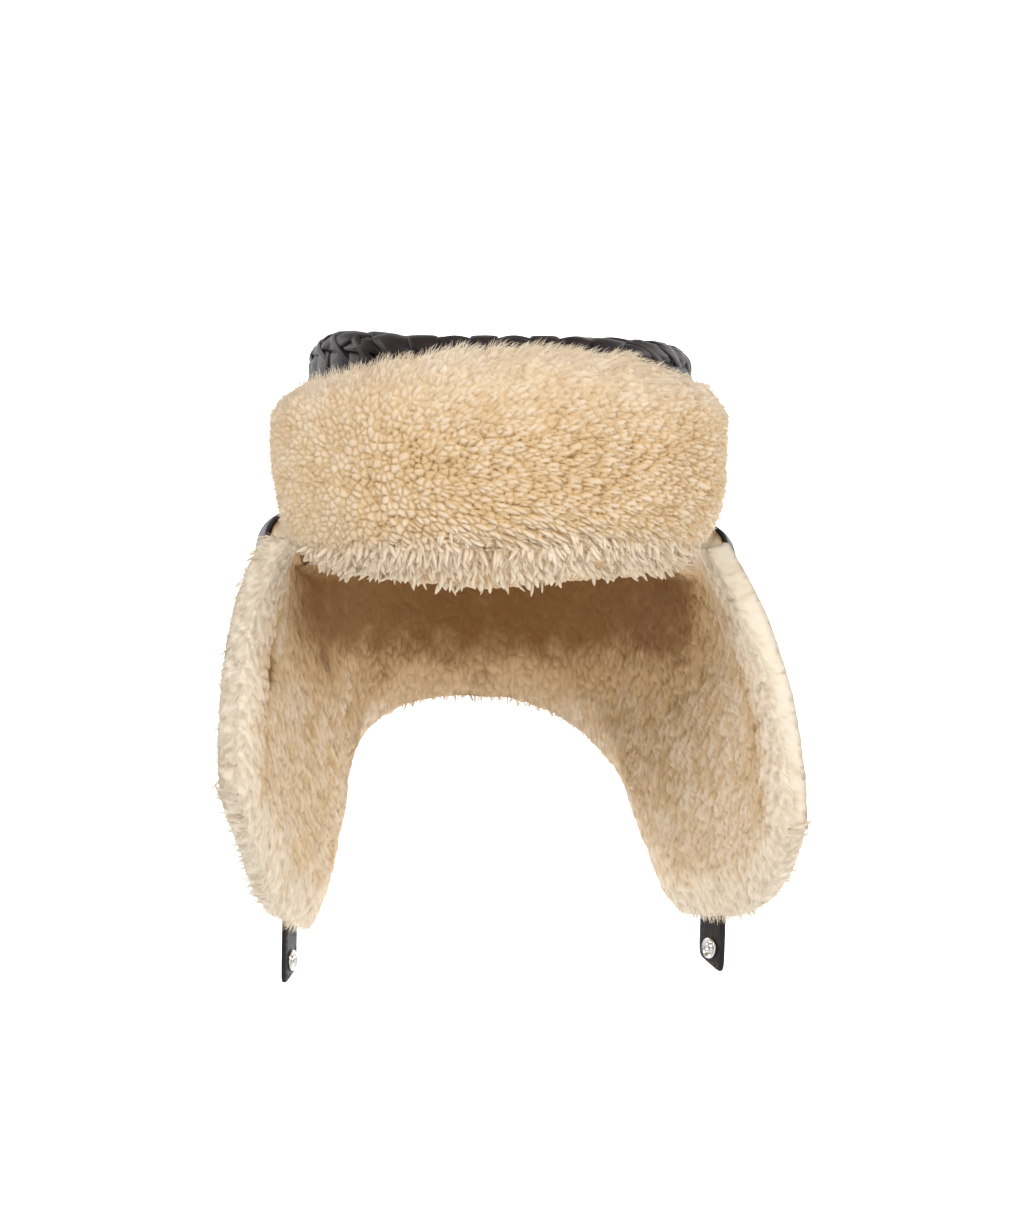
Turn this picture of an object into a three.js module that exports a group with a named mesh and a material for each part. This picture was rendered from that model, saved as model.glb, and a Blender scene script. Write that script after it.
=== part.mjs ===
// A winter flying hat: a crown of woven leather strips, a front flap turned up with its
// shearling outside, and a curtain of two ear flaps and a neck piece, leather outside and
// shearling inside, with a snap tab at the tip of each ear flap.
// Millimetres, +Z up. The face looks along -Y. The origin is where the top of the head
// touches the lining.
import * as THREE from 'three';
import { mergeVertices } from 'three/addons/utils/BufferGeometryUtils.js';

// Head hollow and walls
const headWidth = 157;
const headLength = 195;
const crownDepth = 90;
const hide = 2;
const fit = 0.3;
const liningPile = 12;
const seatCorner = 28;

// Woven leather of the crown
const stripWidth = 18;
const weaveRise = 1.6;
const panelTurn = 9;
const cornerLift = 6;
const cornerBearing = -118;
const cornerSpread = 25;

// Curtain of ear flaps and neck piece
const earFlapLength = 172;
const earFlapSpread = 100;
const curtainReach = 114;
const curtainPile = 15;
const rollRadius = 10.5;
const rollLeg = 9;
const seamEase = 0.6;
const rollStartLow = -60;
const rollStartHigh = 90;

// Front flap
const frontFlapHeight = 87;
const frontFlapHalfWidth = 96;
const frontFlapStand = 9;
const frontFlapSweep = 47;
const frontFlapArc = 70;
const frontFlapBearing = 54;
const frontLean = 4;
const frontPile = 16;
const foldRadius = 2;
const frontTopFall = 0.13;
const frontCornerFall = 0.08;
const frontCornerSharpness = 8;

// Shearling locks
const pileOverhang = 8;
const edgeRound = 17;
const lockHeight = 2.2;
const lockDip = 0.5;
const lockLeast = 0.45;
const edgeSink = 0.75;
const tuftLeast = 0.7;
const tuftMost = 1.3;
const creaseInset = 20;
const creaseDepth = 5;
const creaseWidth = 5;

// Snap tabs
const tabWidth = 19;
const tabLength = 38;
const tabThick = 2.4;
const tabFootRise = 7;
const tabCorner = 3;
const snapRadius = 5.4;
const snapNeck = 2.2;
const snapRise = 1.9;
const snapInset = 12;

// Bearings of the curtain, in degrees from the back, negative to the wearer's right.
// drop: length below the crown, a share of the ear flap's length.
// across, along: where the lower part hangs, shares of the spread and of the curtain's reach.
// roll, rise: size of the pushed-up roll at the seam and how far it stands up.
// flare: how soon below the roll it spreads to there.
const curtainRows = [
  { angle: -113, drop: 0.63, across: -1.32, along: -0.54, roll: 1, rise: 1, flare: 5.5 },
  { angle: -103, drop: 0.78, across: -1.25, along: -0.35, roll: 0.95, rise: 0.95, flare: 5.5 },
  { angle: -92, drop: 0.94, across: -1.17, along: -0.13, roll: 0.75, rise: 0.7, flare: 5.5 },
  { angle: -80, drop: 1, across: -1.08, along: 0.1, roll: 0.5, rise: 0.35, flare: 5 },
  { angle: -68, drop: 0.98, across: -1.02, along: 0.32, roll: 0.35, rise: 0.1, flare: 4.5 },
  { angle: -56, drop: 0.79, across: -0.96, along: 0.53, roll: 0.3, rise: 0, flare: 4 },
  { angle: -44, drop: 0.51, across: -0.85, along: 0.72, roll: 0.3, rise: 0, flare: 4 },
  { angle: -28, drop: 0.37, across: -0.56, along: 0.91, roll: 0.3, rise: 0, flare: 4 },
  { angle: 0, drop: 0.355, across: 0, along: 1.02, roll: 0.3, rise: 0, flare: 4 },
  { angle: 14, drop: 0.39, across: 0.27, along: 0.99, roll: 0.3, rise: 0, flare: 4 },
  { angle: 28, drop: 0.48, across: 0.52, along: 0.91, roll: 0.3, rise: 0, flare: 4 },
  { angle: 42, drop: 0.61, across: 0.72, along: 0.75, roll: 0.3, rise: 0, flare: 4 },
  { angle: 54, drop: 0.81, across: 0.85, along: 0.56, roll: 0.3, rise: 0, flare: 4 },
  { angle: 66, drop: 0.94, across: 0.95, along: 0.35, roll: 0.35, rise: 0.1, flare: 3.5 },
  { angle: 80, drop: 0.97, across: 1.12, along: 0.12, roll: 0.45, rise: 0.35, flare: 3 },
  { angle: 92, drop: 0.95, across: 1.28, along: -0.08, roll: 0.6, rise: 0.6, flare: 3 },
  { angle: 103, drop: 0.87, across: 1.39, along: -0.25, roll: 0.7, rise: 0.8, flare: 3 },
  { angle: 113, drop: 0.73, across: 1.47, along: -0.41, roll: 0.75, rise: 0.9, flare: 3 },
];
const tabBearings = { right: -79, left: 74 };

// How finely each surface is divided
const curtainColumns = 28;
const rollSteps = 4;
const hangSteps = 5;
const frontColumns = 16;
const foldSteps = 2;
const riseSteps = 7;
const liningSteps = 2;
const snapSides = 12;

const wallAcross = headWidth / 2 + liningPile + fit + hide;
const wallAlong = headLength / 2 + liningPile + fit + hide;
const crownEdge = -crownDepth;
const crownTop = liningPile + fit + hide;
const seamLevel = crownTop - panelTurn;
const furStart = crownEdge - 2 * fit;

const radians = THREE.MathUtils.degToRad;
const mix = THREE.MathUtils.lerp;

// A smooth value of one column of a table at a bearing, by cubic pieces through its rows.
function tableValue(rows, column, angle) {
  let i = 0;
  while (i < rows.length - 2 && angle > rows[i + 1].angle) i += 1;
  const slope = (k) => {
    const low = Math.max(k - 1, 0);
    const high = Math.min(k + 1, rows.length - 1);
    return (rows[high][column] - rows[low][column]) / (rows[high].angle - rows[low].angle);
  };
  const span = rows[i + 1].angle - rows[i].angle;
  const t = (angle - rows[i].angle) / span;
  const start = (1 + 2 * t) * (1 - t) * (1 - t) * rows[i][column];
  const end = t * t * (3 - 2 * t) * rows[i + 1][column];
  const bendIn = t * (1 - t) * (1 - t) * span * slope(i);
  const bendOut = t * t * (t - 1) * span * slope(i + 1);
  return start + end + bendIn + bendOut;
}

// A point at a bearing from the back, so far outside the crown wall's plain outer face.
function ring(angle, out, z) {
  const normal = new THREE.Vector2(
    wallAlong * Math.sin(radians(angle)),
    wallAcross * Math.cos(radians(angle)),
  ).normalize();
  const x = wallAcross * Math.sin(radians(angle)) + out * normal.x;
  const y = wallAlong * Math.cos(radians(angle)) + out * normal.y;
  return new THREE.Vector3(x, y, z);
}

// A repeatable number from 0 to 1 for a pair of whole numbers.
function chance(i, j) {
  const value = Math.sin(i * 12.9898 + j * 78.233) * 43758.5453;
  return value - Math.floor(value);
}

// Height of one lock of pile at a place on the grid: tall and short locks alternate.
function lock(i, j) {
  const side = (i + j) % 2 === 0 ? 1 : -lockDip;
  return side * lockHeight * mix(lockLeast, 1, chance(i, j));
}

// Points of a surface, a row for each whole number up to rows.
function grid(columns, rows, point) {
  return Array.from({ length: rows + 1 }, (_, j) =>
    Array.from({ length: columns + 1 }, (__, i) => point(i, j)));
}

// Unit direction along a row or column of points at one of its places.
function tangent(before, here, after) {
  const total = new THREE.Vector3();
  if (after !== here) total.add(after.clone().sub(here).normalize());
  if (before !== here) total.add(here.clone().sub(before).normalize());
  return total.normalize();
}

// Each point moved along the surface's own normal by its distance. Where the columns run
// clockwise round the head and the rows run down, that is towards the head.
function shifted(points, distance) {
  const last = points.length - 1;
  const side = points[0].length - 1;
  return points.map((row, j) => row.map((here, i) => {
    const along = tangent(row[Math.max(i - 1, 0)], here, row[Math.min(i + 1, side)]);
    const below = points[Math.max(j - 1, 0)][i];
    const above = points[Math.min(j + 1, last)][i];
    const normal = tangent(below, here, above).cross(along).normalize();
    return here.clone().addScaledVector(normal, distance(i, j));
  }));
}

function quads(points) {
  const triangles = [];
  for (let j = 0; j < points.length - 1; j += 1) {
    for (let i = 0; i < points[0].length - 1; i += 1) {
      const [a, b] = [points[j][i], points[j][i + 1]];
      const [c, d] = [points[j + 1][i + 1], points[j + 1][i]];
      if (a.distanceTo(c) < b.distanceTo(d)) triangles.push([a, b, c], [a, c, d]);
      else triangles.push([a, b, d], [b, c, d]);
    }
  }
  return triangles;
}

// Joins an edge to a coarser one that has a point for every so many of its own.
function joined(fine, coarse) {
  const triangles = [];
  const ratio = (fine.length - 1) / (coarse.length - 1);
  for (let i = 0; i < coarse.length - 1; i += 1) {
    const middle = Math.floor(ratio / 2) + i * ratio;
    for (let k = i * ratio; k < (i + 1) * ratio; k += 1) {
      triangles.push([fine[k], coarse[k < middle ? i : i + 1], fine[k + 1]]);
    }
    triangles.push([coarse[i], coarse[i + 1], fine[middle]]);
  }
  return triangles;
}

// The edge of a four-sided grid, once round.
function rimOf(points) {
  const last = points.length - 1;
  const side = points[0].length - 1;
  const right = points.slice(1).map((row) => row[side]);
  const top = points[last].slice(0, side).reverse();
  const left = points.slice(0, last).map((row) => row[0]).reverse();
  return [...points[0], ...right, ...top, ...left];
}

function mirroredRows(points) {
  return points.map((row) => [...row].reverse());
}

// One closed body from loose triangles: shared corners merged, faces turned outwards.
function body(triangles) {
  const loose = new THREE.BufferGeometry();
  const numbers = triangles.flat().flatMap((corner) => corner.toArray());
  loose.setAttribute('position', new THREE.Float32BufferAttribute(numbers, 3));
  const merged = mergeVertices(loose, 1e-3);
  const index = Array.from(merged.index.array);
  const corner = (n) => new THREE.Vector3().fromBufferAttribute(merged.attributes.position, n);
  const kept = [];
  let volume = 0;
  for (let k = 0; k < index.length; k += 3) {
    const [a, b, c] = index.slice(k, k + 3);
    if (a === b || b === c || c === a) continue;
    kept.push(a, b, c);
    volume += corner(a).dot(corner(b).cross(corner(c)));
  }
  merged.setIndex(volume > 0 ? kept : kept.reverse());
  merged.computeVertexNormals();
  return merged;
}

// A sheet with four edges: a face, a back and the rim between them.
function sheetBody(face, back) {
  return body([
    ...quads(face),
    ...quads(mirroredRows(back)),
    ...joined(rimOf(face), rimOf(back)),
  ]);
}

// A sheet that closes on itself round the head. A domed one closes at its top too.
function hoopBody(face, back, domed) {
  const triangles = [
    ...quads(face),
    ...quads(mirroredRows(back)),
    ...joined(face[0], back[0]),
  ];
  if (domed) return body(triangles);
  const top = [...face[face.length - 1]].reverse();
  const topBack = [...back[back.length - 1]].reverse();
  return body([...triangles, ...joined(top, topBack)]);
}

// Height of the weave at a point of its half-strip grid: strips are full in the middle of
// a crossing, lower at their edges and lowest in the corners between crossings.
function weave(i, j) {
  return weaveRise * ((i % 2) + (j % 2)) / 2;
}

// The crown's upper edge stands a little higher at one corner.
function lift(angle) {
  const turn = Math.atan2(Math.sin(radians(angle - cornerBearing)),
    Math.cos(radians(angle - cornerBearing)));
  return cornerLift * Math.exp(-((turn / radians(cornerSpread)) ** 2));
}

const stripsAround = Math.round((Math.PI * (wallAcross + wallAlong)) / stripWidth);
const stripsUp = Math.round((seamLevel - crownEdge) / stripWidth);

function crownWall() {
  const point = (share, height, out) => {
    const angle = 360 * share;
    const top = seamLevel - fit + lift(angle);
    return ring(angle, out, mix(crownEdge, top, height));
  };
  const face = grid(2 * stripsAround, 2 * stripsUp, (i, j) =>
    point(i / (2 * stripsAround), j / (2 * stripsUp), weave(i, j)));
  const back = grid(stripsAround, stripsUp, (i, j) =>
    point(i / stripsAround, j / stripsUp, -hide));
  return hoopBody(face, back, false);
}

// The top panel is a square weave drawn to an oval, with its edge turned down to the seam.
function crownTopPanel() {
  const flatShare = 1 - (2 * panelTurn) / (wallAcross + wallAlong);
  const lines = (strips) => {
    const inner = Array.from({ length: 2 * strips + 1 }, (_, k) =>
      flatShare * (k / strips - 1));
    const turn = (1 + flatShare) / 2;
    return [-1, -turn, ...inner, turn, 1];
  };
  const across = lines(Math.round((2 * flatShare * wallAcross) / stripWidth));
  const along = lines(Math.round((2 * flatShare * wallAlong) / stripWidth));
  const point = (p, q, depth) => {
    const x = p * Math.sqrt(1 - (q * q) / 2);
    const y = q * Math.sqrt(1 - (p * p) / 2);
    const reach = Math.hypot(x, y);
    const angle = THREE.MathUtils.radToDeg(Math.atan2(x, y));
    const rise = lift(angle) * reach * reach;
    if (reach < flatShare) {
      const flat = ring(angle, -panelTurn, 0).multiplyScalar(reach / flatShare);
      return flat.setZ(crownTop - depth + rise);
    }
    const turned = radians(90) * ((reach - flatShare) / (1 - flatShare));
    const out = (panelTurn - depth) * Math.sin(turned) - panelTurn;
    return ring(angle, out, seamLevel + (panelTurn - depth) * Math.cos(turned) + rise);
  };
  const edge = 2;
  const relief = (i, j) => {
    const inside = i > edge && j > edge && i < across.length - 1 - edge
      && j < along.length - 1 - edge;
    return inside ? weave(i, j) : 0;
  };
  const face = grid(across.length - 1, along.length - 1, (i, j) =>
    point(across[i], along[j], -relief(i, j)));
  const back = grid((across.length - 1) / 2, (along.length - 1) / 2, (i, j) =>
    point(across[2 * i], along[2 * j], hide));
  return sheetBody(face, back);
}

// Shearling inside the crown: upright sides, a rounded corner and a flat ceiling.
function crownLining() {
  const rows = 3 * liningSteps;
  const point = (i, j, out, corner, top) => {
    const angle = (360 * i) / stripsAround;
    const bend = radians(90) * THREE.MathUtils.clamp(j / liningSteps - 1, 0, 1);
    const inward = out - corner * (1 - Math.cos(bend));
    const low = mix(crownEdge, top - corner, Math.min(j / liningSteps, 1));
    const place = ring(angle, inward, low + corner * Math.sin(bend));
    const share = Math.min((rows - j) / liningSteps, 1);
    return new THREE.Vector3(place.x * share, place.y * share, place.z);
  };
  const outerCorner = panelTurn + hide + fit + liningPile;
  const inner = -hide - fit - liningPile;
  const back = grid(stripsAround, rows, (i, j) =>
    point(i, j, -hide - fit, outerCorner, liningPile));
  const smooth = grid(stripsAround, rows, (i, j) => point(i, j, inner, seatCorner, 0));
  const face = shifted(smooth, (i, j) =>
    (j > 0 && j < rows - 1 ? lock(i % stripsAround, j) / 2 : 0));
  face.forEach((row) => row.splice(stripsAround, 1, row[0].clone()));
  return hoopBody(face, back, true);
}

// Finished face of the curtain's leather. It leaves the crown's lower edge on a short leg,
// turns over a roll and hangs, flaring out to where its lower part lies.
function curtainPoint(angle, row) {
  const value = (column) => tableValue(curtainRows, column, angle);
  const rise = Math.max(value('rise'), 0);
  const start = radians(mix(rollStartLow, rollStartHigh, rise));
  const radius = hide + fit + rollRadius * value('roll');
  const leg = seamEase + hide + rollLeg * rise;
  const rootOut = weaveRise + seamEase;
  if (row <= 1) {
    const out = rootOut + leg * row * Math.cos(start);
    return ring(angle, out, crownEdge + leg * row * Math.sin(start));
  }
  const centreOut = rootOut + leg * Math.cos(start) + radius * Math.sin(start);
  const centreZ = crownEdge + leg * Math.sin(start) - radius * Math.cos(start);
  const swept = Math.min((row - 1) / rollSteps, 1);
  const heading = mix(start, -radians(90), swept);
  const out = centreOut - radius * Math.sin(heading);
  const turned = ring(angle, out, centreZ + radius * Math.cos(heading));
  if (row <= 1 + rollSteps) return turned;
  const hung = (row - 1 - rollSteps) / hangSteps;
  const share = hung * value('drop');
  const flare = 1 - (1 - Math.min(share, 1)) ** value('flare');
  const hem = crownEdge - earFlapLength * value('drop');
  return new THREE.Vector3(
    mix(turned.x, earFlapSpread * value('across'), flare),
    mix(turned.y, curtainReach * value('along'), flare),
    mix(turned.z, hem, hung),
  );
}

const curtainSpan = [curtainRows[0].angle, curtainRows[curtainRows.length - 1].angle];
const curtainGridRows = 1 + rollSteps + hangSteps;

function curtainGrid(detail) {
  return grid(curtainColumns * detail, curtainGridRows * detail, (i, j) => {
    const angle = mix(curtainSpan[0], curtainSpan[1], i / (curtainColumns * detail));
    return curtainPoint(angle, j / detail);
  });
}

function curtainLeather() {
  const finished = curtainGrid(1);
  return sheetBody(finished, shifted(finished, () => hide));
}

// How near an edge a place is: 1 at the edge, 0 once the pile stands at full height.
function nearness(distance) {
  return 1 - Math.min(distance / edgeRound, 1);
}

// Pile over the leather: full height inside, rounded down and standing over at the edges.
// The side edges are held in over the first rows, as many as root says.
function pileFace(skin, height, root) {
  const last = skin.length - 1;
  const side = skin[0].length - 1;
  const near = (i, j) => ({
    first: nearness(skin[j][i].distanceTo(skin[j][0])),
    second: nearness(skin[j][i].distanceTo(skin[j][side])),
    hem: nearness(skin[j][i].distanceTo(skin[last][i])),
  });
  const raised = shifted(skin, (i, j) => {
    const { first, second, hem } = near(i, j);
    const edge = Math.max(first, second, hem);
    return height(i, j) * Math.sqrt(1 - edgeSink * edge * edge) + lock(i, j);
  });
  return raised.map((row, j) => row.map((place, i) => {
    const { first, second, hem } = near(i, j);
    const hemLine = skin[last][Math.min(i + 1, side)].clone()
      .sub(skin[last][Math.max(i - 1, 0)]);
    const inward = raised[last][i].clone().sub(skin[last][i]);
    const down = hemLine.cross(inward).normalize();
    const hang = skin[last][i].clone().sub(skin[last - 1][i]);
    if (down.dot(hang) < 0) down.negate();
    const outFirst = skin[j][0].clone().sub(skin[j][1]).normalize();
    const outSecond = skin[j][side].clone().sub(skin[j][side - 1]).normalize();
    const held = Math.min(j / (2 * root), 1);
    const tuft = pileOverhang * mix(tuftLeast, tuftMost, chance(i, j));
    return place.clone()
      .addScaledVector(down, tuft * hem * hem)
      .addScaledVector(outFirst, tuft * held * first * first)
      .addScaledVector(outSecond, tuft * held * second * second);
  }));
}

// Shearling inside the curtain. Its first rows run from the crown's lining, below the
// crown's edge, out to the hanging part, and a crease follows each free front edge.
function curtainShearling() {
  const detail = 2;
  const root = (1 + rollSteps) * detail;
  const skin = shifted(curtainGrid(1), () => hide + fit);
  skin[0] = curtainGrid(1)[0].map((place, i) => {
    const toRim = skin[1][i].clone().sub(skin[0][i]).normalize();
    return skin[0][i].clone().addScaledVector(toRim, -2 * fit);
  });
  const fine = shifted(curtainGrid(detail), () => hide + fit);
  const last = fine.length - 1;
  const side = fine[0].length - 1;
  const height = (i, j) => {
    const inset = Math.min(fine[j][i].distanceTo(fine[j][0]),
      fine[j][i].distanceTo(fine[j][side]));
    const along = Math.sin(Math.PI * Math.max((j - root) / (last - root), 0));
    const crease = Math.exp(-(((inset - creaseInset) / creaseWidth) ** 2));
    return curtainPile - creaseDepth * crease * along;
  };
  const face = pileFace(fine, height, root);
  for (let j = 0; j < root; j += 1) {
    face[j].forEach((place, i) => {
      const angle = mix(curtainSpan[0], curtainSpan[1], i / side);
      const inner = ring(angle, -hide - fit - liningPile, furStart);
      place.copy(inner.lerp(face[root][i], j / root));
    });
  }
  return sheetBody(face, skin);
}

// Finished face of the front flap's leather, which lies towards the crown. It starts below
// the crown's edge, folds up in front of it and rises, standing away at the sides.
function frontPoint(share, row) {
  const angle = 180 + frontFlapBearing * share;
  const front = weaveRise + 2 * seamEase;
  const low = crownEdge - 2 * fit;
  const turn = radians(90) * THREE.MathUtils.clamp((row - 1) / foldSteps, 0, 1);
  const legEnd = front - foldRadius;
  if (row <= 1 + foldSteps) {
    const out = mix(-hide, legEnd, Math.min(row, 1)) + foldRadius * Math.sin(turn);
    return ring(angle, out, low + foldRadius * (1 - Math.cos(turn)));
  }
  const risen = (row - 1 - foldSteps) / riseSteps;
  const stand = 1 - (1 - risen) ** frontLean;
  const sweep = radians(frontFlapArc);
  const x = (-frontFlapHalfWidth * Math.sin(share * sweep)) / Math.sin(sweep);
  const back = (1 - Math.cos(share * sweep)) / (1 - Math.cos(sweep));
  const y = -wallAlong - frontFlapStand + frontFlapSweep * back;
  const root = ring(angle, front, low + foldRadius);
  const fall = frontTopFall * share ** 2 + frontCornerFall * share ** frontCornerSharpness;
  const top = crownEdge + frontFlapHeight * (1 - fall);
  return new THREE.Vector3(
    mix(root.x, x, stand),
    mix(root.y, y, stand),
    mix(root.z, top, risen),
  );
}

const frontGridRows = 1 + foldSteps + riseSteps;

function frontGrid(detail) {
  return grid(frontColumns * detail, frontGridRows * detail, (i, j) =>
    frontPoint((2 * i) / (frontColumns * detail) - 1, j / detail));
}

function frontLeather() {
  const finished = frontGrid(1);
  return sheetBody(finished, shifted(finished, () => hide));
}

function frontShearling() {
  const detail = 2;
  const skin = shifted(frontGrid(1), () => hide + fit);
  const fine = shifted(frontGrid(detail), () => hide + fit);
  const side = fine[0].length - 1;
  const face = pileFace(fine, () => frontPile, detail * (1 + foldSteps));
  for (let j = 0; j < detail; j += 1) {
    face[j].forEach((place, i) => {
      const angle = 180 + frontFlapBearing * ((2 * i) / side - 1);
      const inner = ring(angle, -hide - fit - liningPile, furStart);
      inner.lerp(face[detail][i], j / detail);
      inner.z -= (frontPile / 3) * Math.sin((Math.PI * j) / detail);
      place.copy(inner);
    });
  }
  return sheetBody(face, skin);
}

// A leather tab with a slanted foot and a hole for its snap, its top edge at y = 0.
function tabShape(slantSide) {
  const half = tabWidth / 2;
  const foot = -tabLength;
  const high = foot + tabFootRise;
  const shape = new THREE.Shape();
  shape.moveTo(-half, 0);
  shape.lineTo(-half, (slantSide > 0 ? high : foot) + tabCorner);
  shape.lineTo(-half + tabCorner, slantSide > 0 ? high : foot);
  shape.lineTo(half - tabCorner, slantSide > 0 ? foot : high);
  shape.lineTo(half, (slantSide > 0 ? foot : high) + tabCorner);
  shape.lineTo(half, 0);
  const hole = new THREE.Path();
  hole.absarc(0, foot + snapInset, snapNeck + fit, 0, 2 * Math.PI, true);
  shape.holes.push(hole);
  const plate = new THREE.ExtrudeGeometry(shape, {
    depth: tabThick,
    bevelEnabled: false,
    curveSegments: snapSides,
  });
  plate.translate(0, 0, -tabThick / 2);
  return plate;
}

// A snap: a domed cap outside, a ringed socket on the side of the head, the neck between.
function snapShape() {
  const inside = tabThick / 2 + fit;
  const cap = inside + snapRise;
  const profile = [
    [0, cap],
    [0.6 * snapRadius, 0.88 * snapRise + inside],
    [0.95 * snapRadius, 0.5 * snapRise + inside],
    [snapRadius, inside],
    [snapNeck, inside],
    [snapNeck, -inside],
    [0.94 * snapRadius, -inside],
    [0.9 * snapRadius, -cap],
    [0.68 * snapRadius, -cap],
    [0.6 * snapRadius, -inside - 0.4 * snapRise],
    [0, -inside - 0.4 * snapRise],
  ].reverse().map(([radius, height]) => new THREE.Vector2(radius, height));
  return new THREE.LatheGeometry(profile, snapSides);
}

const finishes = {
  woven: { color: 0x2b211e, roughness: 0.42, metalness: 0 },
  leather: { color: 0x241b19, roughness: 0.38, metalness: 0 },
  shearling: { color: 0xe9d6b4, roughness: 0.95, metalness: 0 },
  snap: { color: 0xb9bab8, roughness: 0.3, metalness: 1 },
};

function piece(name, geometry, finish) {
  const mesh = new THREE.Mesh(geometry, new THREE.MeshStandardMaterial(finishes[finish]));
  mesh.name = name;
  return mesh;
}

const hat = new THREE.Group();
hat.add(
  piece('crown_top', crownTopPanel(), 'woven'),
  piece('crown_wall', crownWall(), 'woven'),
  piece('crown_lining', crownLining(), 'shearling'),
  piece('curtain_leather', curtainLeather(), 'leather'),
  piece('curtain_shearling', curtainShearling(), 'shearling'),
  piece('front_flap_leather', frontLeather(), 'leather'),
  piece('front_flap_shearling', frontShearling(), 'shearling'),
);

// Each tab hangs in the plane of the leather, from the stretch of hem at its bearing.
function snapTab(wearerSide, bearing) {
  const rows = curtainGrid(1).slice(-2);
  const share = (bearing - curtainSpan[0]) / (curtainSpan[1] - curtainSpan[0]);
  const k = Math.floor(share * curtainColumns);
  const stretch = rows.map((row) => row.slice(k, k + 2));
  const [start, end] = stretch[1];
  const middle = shifted(stretch, () => hide / 2)[1];
  const along = end.clone().sub(start).normalize();
  const hang = start.clone().sub(stretch[0][0]);
  const up = hang.addScaledVector(along, -hang.dot(along)).normalize().negate();
  const facing = along.clone().cross(up);
  const tab = new THREE.Group();
  tab.position.copy(middle[0]).lerp(middle[1], 0.5).addScaledVector(up, -fit);
  tab.quaternion.setFromRotationMatrix(new THREE.Matrix4().makeBasis(along, up, facing));
  const plate = piece(`tab_${wearerSide}`, tabShape(bearing), 'leather');
  const snap = piece(`snap_${wearerSide}`, snapShape(), 'snap');
  snap.rotation.x = radians(-90);
  snap.position.y = snapInset - tabLength;
  tab.add(plate, snap);
  return tab;
}

for (const [wearerSide, bearing] of Object.entries(tabBearings)) {
  hat.add(snapTab(wearerSide, bearing));
}

export default hat;
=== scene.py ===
"""A winter flying hat: a crown of woven leather strips, a front flap turned up with its
shearling outside, and a curtain of two ear flaps and a neck piece, leather outside and
shearling inside, with a snap tab at the tip of each ear flap.

Metres, +Z up, the face looks along -Y. Bearings are degrees from the back of the head."""

import bpy
import numpy as np
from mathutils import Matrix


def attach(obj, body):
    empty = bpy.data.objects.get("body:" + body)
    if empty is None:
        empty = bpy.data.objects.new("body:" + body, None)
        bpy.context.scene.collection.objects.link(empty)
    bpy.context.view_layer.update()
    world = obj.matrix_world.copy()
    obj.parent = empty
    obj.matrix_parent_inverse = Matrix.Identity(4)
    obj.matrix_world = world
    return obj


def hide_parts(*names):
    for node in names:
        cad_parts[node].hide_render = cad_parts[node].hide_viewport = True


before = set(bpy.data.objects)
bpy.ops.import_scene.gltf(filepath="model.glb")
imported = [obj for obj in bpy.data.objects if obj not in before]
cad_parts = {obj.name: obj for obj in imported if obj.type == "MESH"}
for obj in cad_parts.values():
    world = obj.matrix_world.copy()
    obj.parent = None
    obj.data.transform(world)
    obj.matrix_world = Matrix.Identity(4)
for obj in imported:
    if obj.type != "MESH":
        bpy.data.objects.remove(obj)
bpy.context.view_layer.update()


# Side wall of the crown: leather strips woven over and under each other as a plain basket,
# upright ones through ones that run round the head.
wall_across = 0.0928
wall_along = 0.1118
crown_edge = -0.09
seam_level = 0.0053
hide = 0.002
fit = 0.0003
corner_lift = 0.006
corner_bearing = -118
corner_spread = 25
front_dip = 0.003
front_dip_spread = 48
strip_share = 0.94
strip_thickness = 0.0019
weave_depth = 0.0012
strips_around = 36
strips_up = 5
strip_sides, steps_per_cell = 12, 8
backing_level = -0.0008
backing_steps = 120
woven_base = (0.0075, 0.0048, 0.0046, 1)
woven_worn = (0.034, 0.015, 0.015, 1)


def unit(vectors):
    """Each vector divided by its own length."""
    return vectors / np.maximum(np.linalg.norm(vectors, axis=-1, keepdims=True), 1e-9)


def blended(start, end, share):
    """The place between start and end that a share from 0 to 1 gives."""
    return start + (end - start) * share


def stacked(x, y, z):
    """Points from three arrays of any shapes that fit each other."""
    return np.stack(np.broadcast_arrays(x, y, z), -1)


def ring(angle, out, z):
    """Oval round the head: across times the sine of the bearing, along times its cosine,
    then moved out along the oval's own normal, at height z."""
    sine, cosine = np.sin(np.radians(angle)), np.cos(np.radians(angle))
    size = np.hypot(wall_along * sine, wall_across * cosine)
    x = wall_across * sine + out * wall_along * sine / size
    y = wall_along * cosine + out * wall_across * cosine / size
    return stacked(x, y, z)


def lift(angle):
    """The crown's corner stands up by a bell curve of the bearing, and its front edge, worn
    down by the hand, dips by another."""
    turn = (angle - corner_bearing + 180) % 360 - 180
    front = angle % 360 - 180
    return corner_lift * np.exp(-((turn / corner_spread) ** 2)) \
        - front_dip * np.exp(-((front / front_dip_spread) ** 2))


def grid_faces(shape, round_rows=False, round_columns=False):
    """A quad between each four neighbours of every grid in an array (..., rows, columns)."""
    numbers = np.arange(int(np.prod(shape))).reshape(-1, *shape[-2:])
    if round_rows:
        numbers = np.concatenate([numbers, numbers[:, :1]], 1)
    if round_columns:
        numbers = np.concatenate([numbers, numbers[:, :, :1]], 2)
    corners = [numbers[:, :-1, :-1], numbers[:, :-1, 1:], numbers[:, 1:, 1:], numbers[:, 1:, :-1]]
    return np.stack(corners, -1).reshape(-1, 4)


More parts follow.
